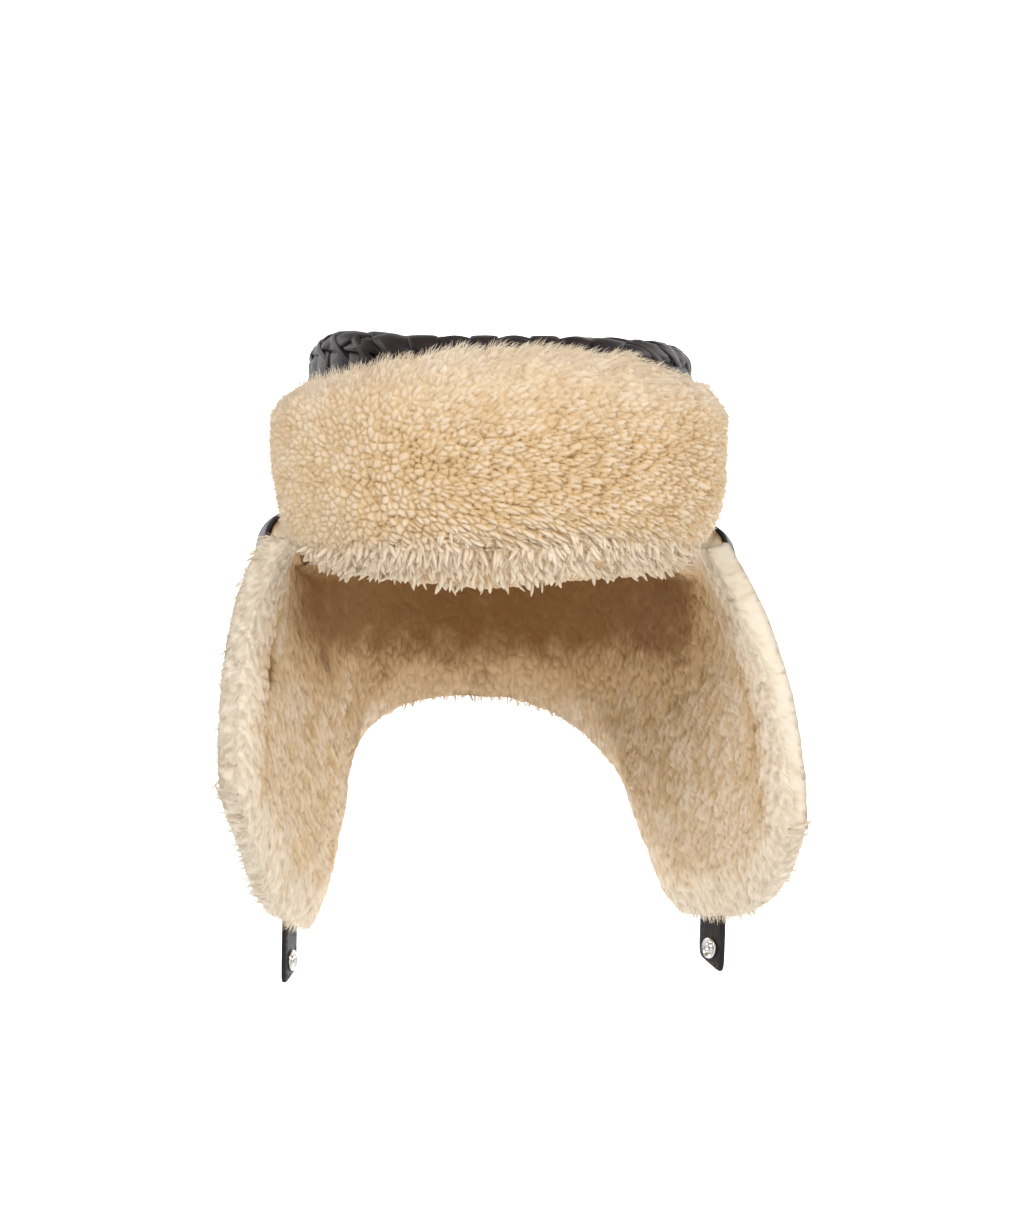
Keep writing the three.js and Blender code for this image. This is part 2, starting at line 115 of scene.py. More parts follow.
def make_piece(name, points, faces, material, nodes, tones=None, closed=True, lie=None):
    """One smooth mesh of points and faces, with a number at each point for each tone. It
    rides on the body, takes the slot's finish and stands for the CAD nodes named. Where lie
    is given, it is the normal that each point is shaded by."""
    groups = faces if isinstance(faces, list) else [faces]
    points = np.asarray(points, float).reshape(-1, 3)
    corners = np.concatenate([group.ravel() for group in groups]).astype(np.int32)
    sizes = np.concatenate([np.full(len(group), group.shape[1]) for group in groups])
    mesh = bpy.data.meshes.new(name)
    mesh.vertices.add(len(points))
    mesh.vertices.foreach_set("co", points.astype(np.float32).ravel())
    mesh.loops.add(len(corners))
    mesh.loops.foreach_set("vertex_index", corners)
    mesh.polygons.add(len(sizes))
    starts = np.concatenate([[0], np.cumsum(sizes)[:-1]]).astype(np.int32)
    mesh.polygons.foreach_set("loop_start", starts)
    mesh.polygons.foreach_set("use_smooth", np.ones(len(sizes), bool))
    for key, values in (tones or {}).items():
        layer = mesh.attributes.new(key, "FLOAT", "POINT")
        layer.data.foreach_set("value", np.asarray(values, np.float32).ravel())
    mesh.update(calc_edges=True)
    mesh.validate()
    if closed:
        volume = signed_volume(points, groups[0])
        if volume < 0:
            mesh.flip_normals()
    if lie is not None:
        mesh.normals_split_custom_set_from_vertices(lie.reshape(-1, 3).tolist())
    mesh.materials.append(material)
    piece = bpy.data.objects.new(name, mesh)
    bpy.context.scene.collection.objects.link(piece)
    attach(piece, "root")
    if nodes:
        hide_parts(*nodes)
    return piece


def leather_tubes(name, grid, material, nodes, crest):
    """Leather from grids whose columns close on themselves, with one crest tone or with one
    for each point."""
    make_piece(name, grid, grid_faces(grid.shape[:-1], round_columns=True), material,
               nodes, {"crest": np.broadcast_to(crest, grid.shape[:-1])})


def signed_volume(points, quads):
    """Sum over the quads of the volume between each one and the middle of the points."""
    a, b, c, d = (points[quads[:, k]] - points.mean(0) for k in range(4))
    return np.einsum("ij,ij->i", a, np.cross(b, c) + np.cross(c, d)).sum() / 6


def strip_section(steps):
    """Rounded outline of a strip: across from -0.5 to 0.5, thickness from -0.5 to 0.5."""
    turn = 2 * np.pi * np.arange(steps) / steps
    across = np.sign(np.cos(turn)) * np.abs(np.cos(turn)) ** 0.6 / 2
    thick = np.sign(np.sin(turn)) * np.abs(np.sin(turn)) ** 0.9 / 2
    return across, thick


def capped(share):
    """Shares along a strip with both ends doubled, and its size there: 0 at the very ends."""
    places = np.concatenate([[0], share, [1]])
    size = np.ones(len(places))
    size[[0, -1]] = 0
    return places, size


def add_node(tree, kind, values, feeds, **settings):
    """One shader node in a tree, with its settings, the values of its inputs, and for other
    inputs the outputs that feed them."""
    node = tree.nodes.new(f"ShaderNode{kind}")
    for key, value in settings.items():
        setattr(node, key, value)
    for key, value in values.items():
        node.inputs[key].default_value = value
    for key, output in feeds.items():
        tree.links.new(output, node.inputs[key])
    return node


def new_group(name, inputs, outputs):
    """An empty node group with its sockets, each a label and a kind. Gives it with the
    outputs of its input node and the inputs of its output node."""
    group = bpy.data.node_groups.new(name, "ShaderNodeTree")
    for way, sockets in (("INPUT", inputs), ("OUTPUT", outputs)):
        for label, kind in sockets:
            group.interface.new_socket(label, in_out=way, socket_type=f"NodeSocket{kind}")
    given = group.nodes.new("NodeGroupInput").outputs
    return group, given, group.nodes.new("NodeGroupOutput").inputs


def leather_group():
    """Node group for soft leather. Fine grain and soft wrinkles give the normal, and the
    colour goes from base to worn with the crest tone and a slow noise."""
    group, given, result = new_group(
        "soft_leather", (("Base", "Color"), ("Worn", "Color"), ("Crest", "Float"),
                         ("Grain Size", "Float"), ("Wrinkle", "Float")),
        (("Color", "Color"), ("Roughness", "Float"), ("Normal", "Vector")))
    place = add_node(group, "TexCoord", {}, {}).outputs["Object"]
    grain = add_node(group, "TexVoronoi", {}, {"Vector": place, "Scale": given["Grain Size"]},
                     feature="SMOOTH_F1").outputs["Distance"]
    wrinkle = add_node(group, "TexNoise", {"Scale": 90, "Detail": 5, "Distortion": 0.6},
                       {"Vector": place}).outputs["Fac"]
    tone = add_node(group, "MapRange", {"From Min": 0.35, "From Max": 0.75}, {"Value": wrinkle})
    wear = add_node(group, "Math", {}, {0: tone.outputs["Result"], 1: given["Crest"]},
                    operation="MULTIPLY")
    colour = add_node(group, "Mix", {}, {"Factor": wear.outputs["Value"], "A": given["Base"],
                                         "B": given["Worn"]}, data_type="RGBA")
    rough = add_node(group, "MapRange", {"To Min": 0.38, "To Max": 0.6}, {"Value": wrinkle})
    folds = add_node(group, "Bump", {"Distance": 0.001},
                     {"Strength": given["Wrinkle"], "Height": wrinkle})
    pores = add_node(group, "Bump", {"Strength": 0.25, "Distance": 0.0003},
                     {"Height": grain, "Normal": folds.outputs["Normal"]})
    group.links.new(colour.outputs["Result"], result["Color"])
    group.links.new(rough.outputs["Result"], result["Roughness"])
    group.links.new(pores.outputs["Normal"], result["Normal"])
    return group


def plain_material(name, values):
    """A material of one plain shader with these values. Gives it with its tree and shader."""
    material = bpy.data.materials.new(name)
    material.use_nodes = True
    shader = material.node_tree.nodes["Principled BSDF"]
    for key, value in values.items():
        shader.inputs[key].default_value = value
    return material, material.node_tree, shader


soft_leather = leather_group()


def leather_material(name, base, worn, grain_size, wrinkle):
    """Leather finish: the group's colour, roughness and normal on one plain shader."""
    material, tree, shader = plain_material(name, {"Specular IOR Level": 0.3})
    crest = add_node(tree, "Attribute", {}, {}, attribute_name="crest").outputs["Fac"]
    hidework = add_node(tree, "Group", {"Base": base, "Worn": worn, "Grain Size": grain_size,
                                        "Wrinkle": wrinkle}, {"Crest": crest},
                        node_tree=soft_leather)
    for label, key in (("Color", "Base Color"), ("Roughness", "Roughness"), ("Normal", "Normal")):
        tree.links.new(hidework.outputs[label], shader.inputs[key])
    return material


woven_leather = leather_material("woven_leather", woven_base, woven_worn, 1500, 0.5)


def wall_point(angle, height, out):
    """The oval at a share of the height from the crown's edge to the seam."""
    top = seam_level - fit + lift(angle)
    return ring(angle, out, blended(crown_edge, top, height))


strip_across, strip_face = strip_section(strip_sides)


def wall_strips():
    """Upright strips follow a cosine of their height in cells, strips round the head the
    opposite cosine of their bearing in cells, so that each passes over and under in turn."""
    height, size = capped(np.linspace(0, 1, strips_up * steps_per_cell + 1))
    number = np.arange(strips_around)[:, None, None]
    height, size = height[None, :, None], size[None, :, None]
    wave = weave_depth * np.cos(np.pi * (height * strips_up - 0.5 + number))
    angle = (number + 0.5 + strip_share * strip_across * size) * 360 / strips_around
    upright = wall_point(angle, height, wave + strip_thickness * strip_face * size)
    level = np.arange(strips_up)[:, None, None]
    turn = np.arange(strips_around * steps_per_cell)[None, :, None] / steps_per_cell
    wave = -weave_depth * np.cos(np.pi * (turn - 0.5 + level))
    share = (level + 0.5 + strip_share * strip_across) / strips_up
    level_out = wave + strip_thickness * strip_face
    return upright, wall_point(turn * 360 / strips_around, share, level_out)


def woven_piece(name, first, second, second_closed, node):
    """The strips of both directions as one mesh, most worn in the middle of each strip. The
    second ones are closed loops, or have ends."""
    points = np.concatenate([first.reshape(-1, 3), second.reshape(-1, 3)])
    second_faces = grid_faces(second.shape[:-1], second_closed, True) + first[..., 0].size
    faces = np.concatenate([grid_faces(first.shape[:-1], False, True), second_faces])
    crest = [np.broadcast_to(2 * np.abs(strip_face), grid.shape[:-1]).ravel()
             for grid in (first, second)]
    make_piece(name, points, faces, woven_leather, [node],
               {"crest": np.concatenate(crest)})


woven_piece("crown_wall_weave", *wall_strips(), True, "crown_wall")

backing_angle = np.linspace(0, 360, backing_steps, endpoint=False)
backing_loop = np.array([[0, -hide], [0, backing_level], [1, backing_level], [1, -hide]])
wall_backing = wall_point(backing_angle[:, None], backing_loop[:, 0], backing_loop[:, 1])
make_piece("crown_wall_backing", wall_backing, grid_faces(wall_backing.shape[:-1], True, True),
           woven_leather, [])


# Top panel: the same strips, straight through the middle and drawn in towards the oval's
# edge, where the panel turns down to the seam.
panel_turn = 0.009
strips_across_top = 10
strips_along_top = 12


def top_point(p, q, out):
    """A square drawn to a disc, p times the root of 1 - q squared / 2 and the same for q,
    laid on the oval, flat in the middle and a quarter round at the edge."""
    x = p * np.sqrt(1 - q * q / 2)
    y = q * np.sqrt(1 - p * p / 2)
    reach = np.minimum(np.hypot(x, y), 1)
    angle = np.degrees(np.arctan2(x, y))
    flat_share = 1 - 2 * panel_turn / (wall_across + wall_along)
    turned = np.pi / 2 * np.clip((reach - flat_share) / (1 - flat_share), 0, 1)
    inward = np.minimum(reach / flat_share, 1)[..., None] * np.array([1, 1, 0])
    rise = lift(angle) * reach ** 2
    level = seam_level + (panel_turn + out) * np.cos(turned) + rise
    edge = ring(angle, (panel_turn + out) * np.sin(turned) - panel_turn, 0) * inward
    return edge + level[..., None] * np.array([0, 0, 1])


def top_strips(strips, crossings, start, swapped):
    """Strips side by side over the square, each waving by a cosine of its way in cells."""
    way, size = capped(np.linspace(0, 1, crossings * steps_per_cell + 1))
    number = np.arange(strips)[:, None, None]
    way, size = way[None, :, None], size[None, :, None]
    wave = start * weave_depth * np.cos(np.pi * (way * crossings - 0.5 + number))
    side = 2 * (number + 0.5 + strip_share * strip_across * size) / strips - 1
    side, along = np.broadcast_arrays(side, 2 * way - 1)
    out = wave + strip_thickness * strip_face * size
    return top_point(along, side, out) if swapped else top_point(side, along, out)


lengthwise = top_strips(strips_across_top, strips_along_top, 1, False)
crosswise = top_strips(strips_along_top, strips_across_top, -1, True)
woven_piece("crown_top_weave", lengthwise, crosswise, False, "crown_top")

top_reach = np.array([0, 0.25, 0.5, 0.75, 0.9, 0.95, 1])
top_depth = np.repeat([backing_level, -hide], len(top_reach))
top_reach = np.concatenate([top_reach, top_reach[::-1]])
top_sine, top_cosine = (turn(np.radians(backing_angle))[:, None] for turn in (np.sin, np.cos))
square = np.maximum(np.abs(top_sine), np.abs(top_cosine))
top_backing = top_point(top_reach * top_sine / square, top_reach * top_cosine / square, top_depth)
make_piece("crown_top_backing", top_backing, grid_faces(top_backing.shape[:-1], True),
           woven_leather, [])


# Plait round the crown's edge: the ends of the strips, turned down over the panel's edge one
# after another, each slanting over the next.
plait_strips = 30
plait_overlap = 1.55
plait_low, plait_high = -38, 76
plait_stand = 0.0011
plait_width = 0.0052
plait_slope = 0.0008
plait_steps = 25


def plait_point(angle, turned, out):
    """Round the panel's edge: a bearing, and degrees up from level on its quarter round."""
    swept = np.radians(turned)
    reach = panel_turn + out
    drop = np.where(turned < 0, np.radians(-turned) * panel_turn, 0)
    level = np.where(turned < 0, 0, reach * np.sin(swept))
    aside = np.where(turned < 0, reach, reach * np.cos(swept)) - panel_turn
    return ring(angle, aside, seam_level + level - drop + lift(angle))


plait_way, plait_size = capped(np.linspace(0, 1, plait_steps))
plait_number = np.arange(plait_strips)[:, None, None]
plait_lens = (np.sin(np.pi * plait_way) ** 0.55 * plait_size)[None, :, None]
plait_way = plait_way[None, :, None]
plait_angle = (plait_number + plait_overlap * plait_way) * 360 / plait_strips
plait_turned = blended(plait_low, plait_high, plait_way) \
    + np.degrees(plait_width / panel_turn) * plait_lens * strip_across
plait_out = plait_stand * (0.2 + 0.8 * plait_lens) + strip_thickness * strip_face * plait_lens \
    + plait_slope * (0.5 - plait_way)
plait = plait_point(plait_angle, plait_turned, plait_out)
leather_tubes("crown_edge_plait", plait, woven_leather, [],
              2 * np.abs(strip_face))


# Crown lining: shearling with a short curly pile, up the sides, round the corner and flat
# over the head.
lining_pile = 0.012
seat_corner = 0.028
fur_start = crown_edge - 2 * fit
lining_columns, lining_rows = 170, 60
lining_curl_size, lining_curl_rise = 0.0042, 0.0016
wool_tip = (0.765, 0.62, 0.45, 1)
wool_middle = (0.65, 0.45, 0.24, 1)
# The root colour is painted shade: it shows in the crevices, the crease and the wool up inside the
# crown.
wool_root_shade = (0.27, 0.14, 0.05, 1)
wool_pale = (0.875, 0.78, 0.635, 1)


def wool_group():
    """Node group for wool colour: root to middle to tip with the depth tone, moved a little
    by a slow noise, and towards a pale fleece with the pale tone. The dark root colour is
    painted shade, where the depth tone is low."""
    group, given, result = new_group(
        "wool_colour", [(label, "Color") for label in ("Root", "Middle", "Tip", "Pale")]
        + [("Depth", "Float"), ("Paleness", "Float")], (("Color", "Color"), ("Normal", "Vector")))
    place = add_node(group, "TexCoord", {}, {}).outputs["Object"]
    fibres = add_node(group, "TexNoise", {"Scale": 1100, "Detail": 2}, {"Vector": place})
    fuzz = add_node(group, "Bump", {"Strength": 0.35, "Distance": 0.0006},
                    {"Height": fibres.outputs["Fac"]})
    patches = add_node(group, "TexNoise", {"Scale": 70, "Detail": 3}, {"Vector": place})
    moved = add_node(group, "Math", {1: 0.5}, {0: patches.outputs["Fac"], 2: given["Depth"]},
                     operation="MULTIPLY_ADD").outputs["Value"]
    colour = given["Root"]
    for low, high, label in ((0.25, 0.75, "Middle"), (0.75, 1.2, "Tip")):
        step = add_node(group, "MapRange", {"From Min": low, "From Max": high}, {"Value": moved},
                        interpolation_type="SMOOTHSTEP").outputs["Result"]
        colour = add_node(group, "Mix", {}, {"Factor": step, "A": colour, "B": given[label]},
                          data_type="RGBA").outputs["Result"]
    paler = add_node(group, "Mix", {}, {"Factor": given["Paleness"], "A": colour,
                                        "B": given["Pale"]}, data_type="RGBA")
    group.links.new(paler.outputs["Result"], result["Color"])
    group.links.new(fuzz.outputs["Normal"], result["Normal"])
    return group


wool_colour = wool_group()


def wool_material(name, root, middle, tip, pale):
    """Wool finish: the group's colour on a dull shader with a soft sheen."""
    material, tree, shader = plain_material(
        name, {"Roughness": 0.9, "Specular IOR Level": 0.2, "Sheen Weight": 0.12,
               "Sheen Roughness": 0.6, "Sheen Tint": (1, 0.85, 0.62, 1)})
    depth, paleness = (add_node(tree, "Attribute", {}, {}, attribute_name=key).outputs["Fac"]
                       for key in ("depth", "pale"))
    fleece = add_node(tree, "Group", {"Root": root, "Middle": middle, "Tip": tip, "Pale": pale},
                      {"Depth": depth, "Paleness": paleness}, node_tree=wool_colour)
    tree.links.new(fleece.outputs["Color"], shader.inputs["Base Color"])
    tree.links.new(fleece.outputs["Normal"], shader.inputs["Normal"])
    return material


shearling = wool_material("shearling", wool_root_shade, wool_middle, wool_tip, wool_pale)


def chance(cells, seed):
    """A repeatable number from 0 to 1 for each cell of a net, from the sine of its place."""
    weights = np.array([12.9898, 78.233, 37.719])[:cells.shape[-1]]
    value = np.sin(cells @ weights + 11.13 * seed) * 43758.5453
    return value - np.floor(value)


def curl_cells(points, size, seed):
    """One curl centre lies at a chance place in each cube of a net. Gives the way to the
    nearest centre, and how far the point is inside its curl: 0 at a crevice, 1 well inside."""
    scaled = points / size
    cell = np.floor(scaled)
    nearest = np.full(points.shape[:-1], 9.0)
    second = nearest.copy()
    way = np.zeros(points.shape)
    for step in np.stack(np.meshgrid(*[[-1, 0, 1]] * 3), -1).reshape(-1, 3):
        other = cell + step
        jitter = np.stack([chance(other, seed + k) for k in range(3)], -1)
        offset = other + 0.1 + 0.8 * jitter - scaled
        distance = np.linalg.norm(offset, axis=-1)
        closer = distance < nearest
        second = np.where(closer, nearest, np.minimum(second, distance))
        way = np.where(closer[..., None], offset, way)
        nearest = np.where(closer, distance, nearest)
    inside = np.clip((second - nearest) / 0.4, 0, 1)
    return way * size, inside * (2 - inside)


def swell(points, size, seed):
    """Slow smooth rise and fall from -1 to 1: chance numbers at the corners of a net of
    cubes, blended between them."""
    scaled = points / size
    cell = np.floor(scaled)
    share = scaled - cell
    share = share * share * (3 - 2 * share)
    total = np.zeros(points.shape[:-1])
    for corner in np.stack(np.meshgrid(*[[0, 1]] * 3), -1).reshape(-1, 3):
        weight = np.prod(np.where(corner == 1, share, 1 - share), -1)
        total += weight * chance(cell + corner, seed)
    return 2 * total - 1


def sheet_frame(points):
    """Unit directions of a grid's columns and rows, and the normal, row cross column."""
    across = unit(np.gradient(points, axis=1))
    up = unit(np.gradient(points, axis=0))
    return across, up, unit(np.cross(up, across))


def lining_point(angle, way, out, corner, top):
    """Upright to the corner for the first third, a quarter round, then in to the middle."""
    bend = np.pi / 2 * np.clip(way * 3 - 1, 0, 1)
    inward = out - corner * (1 - np.cos(bend))
    level = blended(crown_edge, top - corner, np.minimum(way * 3, 1)) + corner * np.sin(bend)
    share = np.clip(3 - 3 * way, 0, 1)[..., None]
    return ring(angle, inward, level) * np.where([1, 1, 0], share, 1)


lining_angle = 360 * np.arange(lining_columns) / lining_columns
lining_way = np.linspace(0, 1, lining_rows)[:, None]
lining_skin = lining_point(lining_angle, lining_way, -hide - fit - lining_pile, seat_corner, 0)
lining_back = lining_point(lining_angle, lining_way, -hide - fit,
                           panel_turn + hide + fit + lining_pile, lining_pile)
lining_in = unit(lining_skin - lining_back)
_, lining_curl = curl_cells(lining_skin, lining_curl_size, 3)
lining_fade = np.clip((1 - lining_way) * 6, 0, 1)
lining_rise = (lining_curl - 0.5) * lining_curl_rise * lining_fade
lining_face = lining_skin + lining_in * lining_rise[..., None]
lining_points = np.concatenate([lining_back[::-1], lining_face])
# Painted shade: the tone is lower in the crevices between the curls.
lining_depth = np.concatenate([np.zeros(lining_curl.shape), 0.3 + 0.6 * lining_curl])
make_piece("crown_lining_wool", lining_points,
           grid_faces(lining_points.shape[:-1], True, True), shearling,
           ["crown_lining"], {"depth": lining_depth, "pale": np.zeros(lining_depth.shape)})


# Curtain, outside: one hide that is sewn to the crown's lower edge, pushed up into a roll at
# the front of each ear flap, and hangs from there, with a row of stitches along its edge.
ear_flap_length = 0.172
ear_flap_spread = 0.1
curtain_reach = 0.114
curtain_pile = 0.015
roll_radius = 0.0105
roll_leg = 0.009
seam_ease = 0.0006
weave_rise = 0.0016
leather_base = (0.009, 0.0065, 0.006, 1)
leather_worn = (0.03, 0.019, 0.017, 1)
# bearing, drop, across, along, roll, rise, flare
curtain_rows = np.array([
    (-113, 0.63, -1.32, -0.54, 1, 1, 5.5),
    (-103, 0.78, -1.25, -0.35, 0.95, 0.95, 5.5),
    (-92, 0.94, -1.17, -0.13, 0.75, 0.7, 5.5),
    (-80, 1, -1.08, 0.1, 0.5, 0.35, 5),
    (-68, 0.98, -1.02, 0.32, 0.35, 0.1, 4.5),
    (-56, 0.79, -0.96, 0.53, 0.3, 0, 4),
    (-44, 0.51, -0.85, 0.72, 0.3, 0, 4),
    (-28, 0.37, -0.56, 0.91, 0.3, 0, 4),
    (0, 0.355, 0, 1.02, 0.3, 0, 4),
    (14, 0.39, 0.27, 0.99, 0.3, 0, 4),
    (28, 0.48, 0.52, 0.91, 0.3, 0, 4),
    (42, 0.61, 0.72, 0.75, 0.3, 0, 4),
    (54, 0.81, 0.85, 0.56, 0.3, 0, 4),
    (66, 0.94, 0.95, 0.35, 0.35, 0.1, 3.5),
    (80, 0.97, 1.12, 0.12, 0.45, 0.35, 3),
    (92, 0.95, 1.28, -0.08, 0.6, 0.6, 3),
    (103, 0.87, 1.39, -0.25, 0.7, 0.8, 3),
    (113, 0.73, 1.47, -0.41, 0.75, 0.9, 3),
])
curtain_span = (-113, 113)
leg_end, roll_end, hem_row = 1, 5, 10
curtain_columns = 170
wrinkle_rise, wrinkle_size = 0.0009, 0.03
fine_wrinkle_rise, fine_wrinkle_size = 0.0004, 0.009


def table_value(angle, column):
    """A smooth value of one column of the table: cubic pieces whose slope at each row is
    that of the line between its neighbours."""
    bearing, value = curtain_rows[:, 0], curtain_rows[:, column]
    row = np.arange(len(bearing))
    low, high = np.maximum(row - 1, 0), np.minimum(row + 1, row[-1])
    slope = (value[high] - value[low]) / (bearing[high] - bearing[low])
    i = np.clip(np.searchsorted(bearing, angle) - 1, 0, len(bearing) - 2)
    span = bearing[i + 1] - bearing[i]
    t = (angle - bearing[i]) / span
    ends = (1 + 2 * t) * (1 - t) ** 2 * value[i] + t * t * (3 - 2 * t) * value[i + 1]
    return ends + span * t * (1 - t) * ((1 - t) * slope[i] - t * slope[i + 1])


def curtain_point(angle, row):
    """Finished face: a straight leg from the crown's edge in row 0 to 1, round a roll to row
    5, then hanging to row 10, flaring by a power of the share hung."""
    rise = np.maximum(table_value(angle, 5), 0)
    start = np.radians(blended(-60, 90, rise))
    radius = hide + fit + roll_radius * table_value(angle, 4)
    leg = seam_ease + hide + roll_leg * rise
    root_out = weave_rise + seam_ease
    straight = np.clip(row / leg_end, 0, 1)
    swept = np.clip((row - leg_end) / (roll_end - leg_end), 0, 1)
    heading = blended(start, -np.pi / 2, swept)
    out = root_out + leg * straight * np.cos(start) + radius * (np.sin(start) - np.sin(heading))
    level = crown_edge + leg * straight * np.sin(start) \
        + radius * (np.cos(heading) - np.cos(start))
    turned = ring(angle, out, level)
    hung = np.clip((row - roll_end) / (hem_row - roll_end), 0, 1)
    drop = table_value(angle, 1)
    flare = 1 - (1 - np.minimum(hung * drop, 1)) ** table_value(angle, 6)
    hem = crown_edge - ear_flap_length * drop
    x = blended(turned[..., 0], ear_flap_spread * table_value(angle, 2), flare)
    y = blended(turned[..., 1], curtain_reach * table_value(angle, 3), flare)
    return stacked(x, y, blended(turned[..., 2], hem, hung))


def closed_sheet(face, back):
    """Grid of loops: along the face and back along the back, with both ends drawn shut."""
    middle = (face[[0, -1]] + back[[0, -1]]) / 2
    face = np.concatenate([middle[:1], face, middle[1:]])
    back = np.concatenate([middle[:1], back, middle[1:]])
    return np.concatenate([face, back[:, ::-1]], 1)


def along_way(values, way, where):
    """Values of a path's points at lengths along it, on straight lines between them."""
    return np.stack([np.interp(where, way, column) for column in values.T], -1)


def stitches(path, up, pitch, length, radius):
    """Small rounded bars along a path of points, one for each pitch, lying on the surface
    whose normal is up. Each is a six-sided spindle of four rings."""
    steps = np.linalg.norm(np.diff(path, axis=0), axis=-1)
    way = np.concatenate([[0], np.cumsum(steps)])
    count = int(way[-1] / pitch)
    middle = (np.arange(count) + 0.5) * pitch
    centre = along_way(path, way, middle)
    ahead, behind = (along_way(path, way, middle + step) for step in (pitch / 4, -pitch / 4))
    along = unit(ahead - behind)
    normal = unit(along_way(up, way, middle))
    side = unit(np.cross(along, normal))
    bar_way = np.array([-0.5, -0.36, 0.36, 0.5]) * length
    bar_size = np.array([0.15, 1, 1, 0.15]) * radius
    turn = 2 * np.pi * np.arange(6) / 6
    spread = side[:, None, None] * np.cos(turn)[:, None] \
        + normal[:, None, None] * np.sin(turn)[:, None]
    return centre[:, None, None] + along[:, None, None] * bar_way[:, None, None] \
        + spread * bar_size[:, None, None]


smooth_leather = leather_material("smooth_leather", leather_base, leather_worn, 1300, 0.8)
curtain_angle = np.linspace(*curtain_span, curtain_columns)
curtain_row = np.concatenate([np.linspace(0, roll_end, 21), np.linspace(roll_end, hem_row, 46)[1:]])
curtain_finished = curtain_point(curtain_angle, curtain_row[:, None])
_, _, curtain_in = sheet_frame(curtain_finished)
curtain_fade = np.clip(curtain_row[:, None] / roll_end, 0, 1) ** 2
curtain_wrinkle = (wrinkle_rise * swell(curtain_finished, wrinkle_size, 21)
                   + fine_wrinkle_rise * swell(curtain_finished, fine_wrinkle_size, 22))
curtain_wrinkle = (curtain_wrinkle * curtain_fade)[..., None]
curtain_sheet = closed_sheet(curtain_finished - curtain_in * curtain_wrinkle,
                             curtain_finished + curtain_in * hide)
curtain_crest = closed_sheet(curtain_wrinkle, 0 * curtain_wrinkle)[..., 0]
curtain_crest = np.clip(0.5 + 400 * curtain_crest, 0, 1)
leather_tubes("curtain_leather_hide", curtain_sheet, smooth_leather,
              ["curtain_leather"], curtain_crest)


# Stitches of the curtain: one row of waxed thread along the hem, up both front edges and
# round the nape below the crown.
thread_base = (0.03, 0.02, 0.018, 1)
thread_worn = (0.06, 0.04, 0.035, 1)
stitch_pitch = 0.0042
stitch_length = 0.0031
stitch_radius = 0.00034
stitch_inset = 0.0045
stitch_stand = 0.0001
front_seam_bearing = 110.5
hem_seam_bearing = 109
nape_seam_bearing = 60
nape_seam_row = roll_end + 0.25
thread = leather_material("waxed_thread", thread_base, thread_worn, 3000, 0.1)
hem_inset = stitch_inset / (ear_flap_length * table_value(curtain_angle, 1)) * (hem_row - roll_end)
hem_stitched = np.abs(curtain_angle) < hem_seam_bearing
edge_rows = np.linspace(roll_end, hem_row - 0.15, 60)
seam_lines = [(curtain_angle[hem_stitched], (hem_row - hem_inset)[hem_stitched])]
seam_lines += [(np.full(60, side * front_seam_bearing), edge_rows) for side in (-1, 1)]
nape_bearings = np.linspace(-nape_seam_bearing, nape_seam_bearing, 200)
seam_lines += [(nape_bearings, np.full(200, nape_seam_row))]
curtain_seams = []
for seam_angle, seam_row in seam_lines:
    seam = curtain_point(seam_angle, seam_row)
    aside = curtain_point(seam_angle + 0.5, seam_row) - seam
    below = curtain_point(seam_angle, seam_row + 0.02) - seam
    outside = unit(np.cross(aside, below))
    curtain_seams.append(stitches(seam + stitch_stand * outside, outside, stitch_pitch,
                                  stitch_length, stitch_radius))
curtain_seams = np.concatenate(curtain_seams)
leather_tubes("curtain_stitches", curtain_seams, thread, [], 0.5)


# Curtain, inside: long curly pile of the same hide, which stands over the leather's edges,
# with a crease down each ear flap behind its free front edge.
pile_overhang = 0.005
side_hold, hem_hold = 1.1, 1.35
edge_round = 0.017
rim_wrap = 0.25
crease_inset = 0.02
crease_depth = 0.003
crease_width = 0.0055
crease_wave, crease_wave_size = 0.005, 0.024
crease_gap_size = 0.011
crease_parting = 0.011
tuft_size = 0.0052
tuft_height = 0.0015
tuft_stretch = 2.2
pile_swell, pile_swell_size = 0.0012, 0.022
lock_sunk = 0.0006
lock_spread = 0.16
lock_wave = 0.1
clump_size = 0.0055


def nearness(distance):
    """1 at an edge, 0 from where the pile stands at its full height."""
    return 1 - np.minimum(distance / edge_round, 1)


def edge_distance(skin):
    """Distance of each point from the grid's first column, last column and last row."""
    first = np.linalg.norm(skin - skin[:, :1], axis=-1)
    second = np.linalg.norm(skin - skin[:, -1:], axis=-1)
    return first, second, np.linalg.norm(skin - skin[-1:], axis=-1)


def under_hide(finished):
    """The inner side of a hide, a gap further in, where its pile stands."""
    return finished + sheet_frame(finished)[2] * (hide + fit)


def swollen(form, rise, size, seed):
    """A form moved along its normal by a slow swell."""
    return form + sheet_frame(form)[2] * (rise * swell(form, size, seed))[..., None]


def rimmed(values, steps):
    """A grid's values carried on over the rim beyond its last row and both side columns."""
    return np.pad(values, [(0, steps), (steps, steps)] + [(0, 0)] * (values.ndim - 2), mode="edge")


